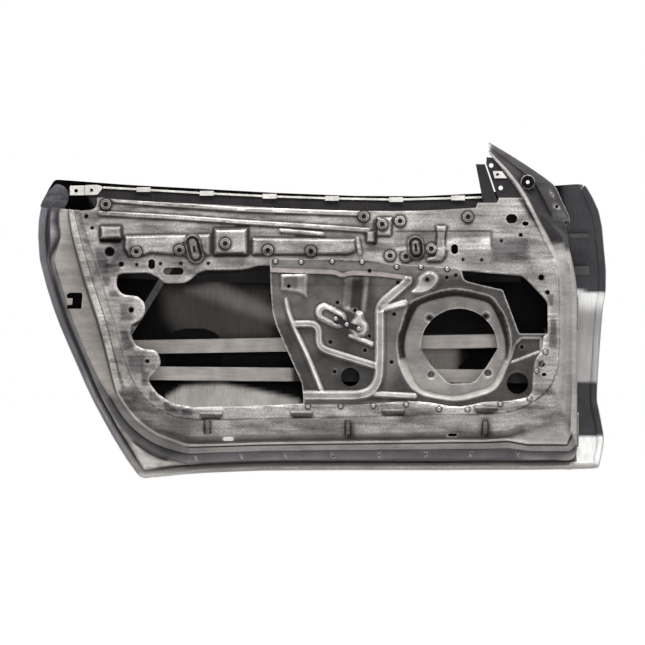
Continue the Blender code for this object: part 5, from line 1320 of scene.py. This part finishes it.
def build_carrier():
    spacing = 2.8
    outline = resampled(rounded(CARRIER_OUTLINE, 6), spacing)
    holes = [speaker_opening()]
    holes += [circle(place, radius, 36) for place, radius in CARRIER_ROUND_HOLES]
    holes += [circle(place, PIN_RADIUS, 14) for place in CARRIER_PIN_HOLES + SPEAKER_SCREWS]
    holes += [circle(place, RIVET_HOLE, 12) for place in TOP_RIVETS + EDGE_RIVETS + LINK_POINTS]
    guides = rails(EASED_TOP, (-1.5, 0, 2.5), spacing, closed=True)
    guides += rails(EASED_FLOOR, (-2.5, 0, 2), spacing, closed=True)
    guides += bead_guides(SWAGES, spacing) + form_guides(PADS, spacing)
    for place in SPEAKER_SCREWS:
        guides += [(circle(place, radius), True) for radius in (6, 8.5, DIMPLE_RADIUS)]
    for place, radius in CARRIER_ROUND_HOLES:
        guides += [(circle(place, radius + more, 36), True) for more in (1.5, 3.5, RIM_WIDTH)]
    bm = sheet(outline, holes, guides, spacing, carrier_depth)
    face_cabin(bm)
    made = thickened(bm, "module_carrier_look", CARRIER_SHEET)
    paint(made, METAL, carrier_zones(), carrier_lines(), wear_and_highlight_share=0.7, dirt_and_shade_share=0.3)
    piece(made, CARRIER, "carrier_aluminium", "module_carrier", sharp=40)


build_carrier()

# Rivets: blind rivets with a low domed head, a dimple where the stem broke, and a set tail behind

RIVET_RADIUS = 2.4
LINK_FACE = -7.0  # the depth of the lift link's front


def rivet(place, seat, far):
    """A rivet through sheets between two depths."""
    head, tail = seat - GAP, far + GAP
    profile = [(0, head + 1.5), (2.3, head + 1.5), (2.8, head - 1.3), (3.2, head - 1.8), (3.8, head - 1.6),
               (4.6, head - 0.9), (4.8, head - 0.4), (4.8, head), (RIVET_RADIUS, head), (RIVET_RADIUS, tail),
               (3.6, tail + 0.2), (3.7, tail + 1.4), (3.1, tail + 3.0), (0, tail + 3.0)]
    return turned(place, profile, 20)


def build_rivets():
    seats = carrier_depth(np.array(LINK_POINTS, float))
    rows = {
        "belt": [rivet(place, CARRIER_FRONT, CASTING_WALL) for place in TOP_RIVETS],
        "sill": [rivet(place, 0.0, CARRIER_BACK + CARRIER_SHEET) for place in EDGE_RIVETS],
        "link": [rivet(place, LINK_FACE, seat + CARRIER_SHEET) for place, seat in zip(LINK_POINTS, seats)],
    }
    for name, rivets in rows.items():
        nodes = [f"{name}_rivet_{i + 1}" for i in range(len(rivets))]
        piece(object_of(f"{name}_rivets_look", joined(rivets)), RIVET, "rivet_aluminium", *nodes)


build_rivets()


# Pieces that keep the shape of the model: their edges are eased and they get their finish


def dressed(names, looks, width):
    """Eases the edges of nodes by a width in millimetres and gives them a finish."""
    for name in names:
        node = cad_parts[name]
        weld = node.modifiers.new("joined", "WELD")
        weld.merge_threshold = 1e-5
        ease = node.modifiers.new("eased", "BEVEL")
        ease.width = width * MM
        ease.segments = 2
        ease.limit_method = "ANGLE"
        ease.angle_limit = math.radians(35)
        ease.use_clamp_overlap = True
        node.data.materials.clear()
        node.data.materials.append(looks)


# Impact beams and their brackets: extruded tubes between folded plates, bolted to the frame
dressed(["upper_impact_beam", "lower_impact_beam"], BEAM, 1.6)
dressed([f"{side}_beam_{end}_bracket" for side in ("upper", "lower") for end in ("rear", "front")], BEAM, 0.6)
# Brace and nut plates: bent aluminium strip and plates behind the bolted faces
dressed(["upper_hinge_nut_plate", "lower_hinge_nut_plate", "latch_nut_plate"], BEAM, 0.5)
# The brace and the skin brackets get the darker copy of the sheet, painted shade
dressed(["rear_diagonal_brace", "lower_skin_bracket", "upper_skin_bracket"], SHADED, 0.5)
# Belt rail, its clips and the end bracket: bright rolled sheet
dressed(["belt_rail", "belt_end_bracket", "mirror_stay"], RAIL, 0.4)
dressed([f"belt_clip_{i}" for i in range(1, 7)], RAIL, 0.5)
# Belt reinforcement, window guide, mirror plate and lift link: dark coated steel pressings, the belt
# reinforcement darker also as painted shade in the window slot
dressed(["outer_belt_reinforcement", "front_window_guide", "mirror_plate", "lift_link"], DARK, 0.5)
# Damping pads stuck to the skin, and the plug in the sill
dressed(["rear_damping_pad", "front_damping_pad"], RUBBER, 1.2)
dressed(["drain_plug"], RAIL, 0.6)

# Mirror grommet: a moulded rubber ring pushed into the boss on the mirror flag

GROMMET_SEAT = 4.7  # the depth of the boss's face


def build_grommet():
    seat = GROMMET_SEAT
    profile = [(4.5, seat - 1.6), (5.4, seat - 2.4), (14.4, seat - 2.5), (15.4, seat - 1.6), (15.5, seat),
               (10.7, seat), (10.7, 22), (8.4, 22), (7.6, 12), (4.5, 8)]
    made = object_of("mirror_grommet_look", turned(GROMMET_PLACE, profile, 40))
    piece(made, RUBBER, "black_rubber", "mirror_grommet")


build_grommet()

# Stage: a white floor below the door and soft light, mostly from above


def seen_rays(tree):
    """1 for the rays that see the white surroundings: those of the camera and of mirror images."""
    rays = add(tree, "ShaderNodeLightPath", {}).outputs
    mirrored = worked_out(tree, "MAXIMUM", rays["Is Glossy Ray"], rays["Is Transmission Ray"])
    return worked_out(tree, "MAXIMUM", rays["Is Camera Ray"], mirrored)


FLOOR_HEIGHT = -0.95
FLOOR_REACH = 30.0
FLOOR_GLOW = 0.8
AMBIENT = 0.13
FLOOR_SHADE, FLOOR_WHITE = (0.25, 0.25, 0.25, 1), (0.92, 0.92, 0.92, 1)  # unseen and seen
floor_mesh = bmesh.new()
bmesh.ops.create_grid(floor_mesh, x_segments=1, y_segments=1, size=FLOOR_REACH)
bmesh.ops.translate(floor_mesh, vec=(0, 0, FLOOR_HEIGHT), verts=floor_mesh.verts[:])
floor = object_of("floor", floor_mesh)
floor_looks, tree, shader, _ = new_material("floor_white", 0.0)
shader.inputs["Roughness"].default_value = 0.9
shader.inputs["Emission Color"].default_value = (1.0, 1.0, 1.0, 1.0)
seen = seen_rays(tree)
shade = add(tree, "ShaderNodeMix", {0: seen, 6: FLOOR_SHADE, 7: FLOOR_WHITE}, data_type="RGBA")
tree.links.new(shade.outputs[2], shader.inputs["Base Color"])
tree.links.new(worked_out(tree, "MULTIPLY", seen, FLOOR_GLOW), shader.inputs["Emission Strength"])
floor.data.materials.append(floor_looks)

world = bpy.data.worlds.new("studio")
bpy.context.scene.world = world
world.use_nodes = True
tree = world.node_tree
for node in list(tree.nodes):
    tree.nodes.remove(node)
ambient = add(tree, "ShaderNodeBackground", {"Color": (1, 1, 1, 1), "Strength": AMBIENT})
white = add(tree, "ShaderNodeBackground", {"Color": (1, 1, 1, 1), "Strength": 1.0})
either = add(tree, "ShaderNodeMixShader", {0: seen_rays(tree), 1: ambient.outputs[0], 2: white.outputs[0]})
add(tree, "ShaderNodeOutputWorld", {"Surface": either.outputs[0]})


def soft_light(name, place, aim, width, height, power):
    light = bpy.data.lights.new(name, "AREA")
    light.shape = "RECTANGLE"
    light.size, light.size_y = width, height
    light.energy = power
    made = bpy.data.objects.new(name, light)
    made.location = place
    made.rotation_euler = (Vector(aim) - Vector(place)).to_track_quat("-Z", "Y").to_euler()
    bpy.context.scene.collection.objects.link(made)


soft_light("overhead_softbox", (-0.7, -0.95, 2.5), (-0.62, 0.0, 0.0), 2.6, 0.7, 150)
soft_light("camera_softbox", (-0.2, -5.0, 1.4), (-0.62, 0.0, 0.0), 2.0, 1.2, 30)
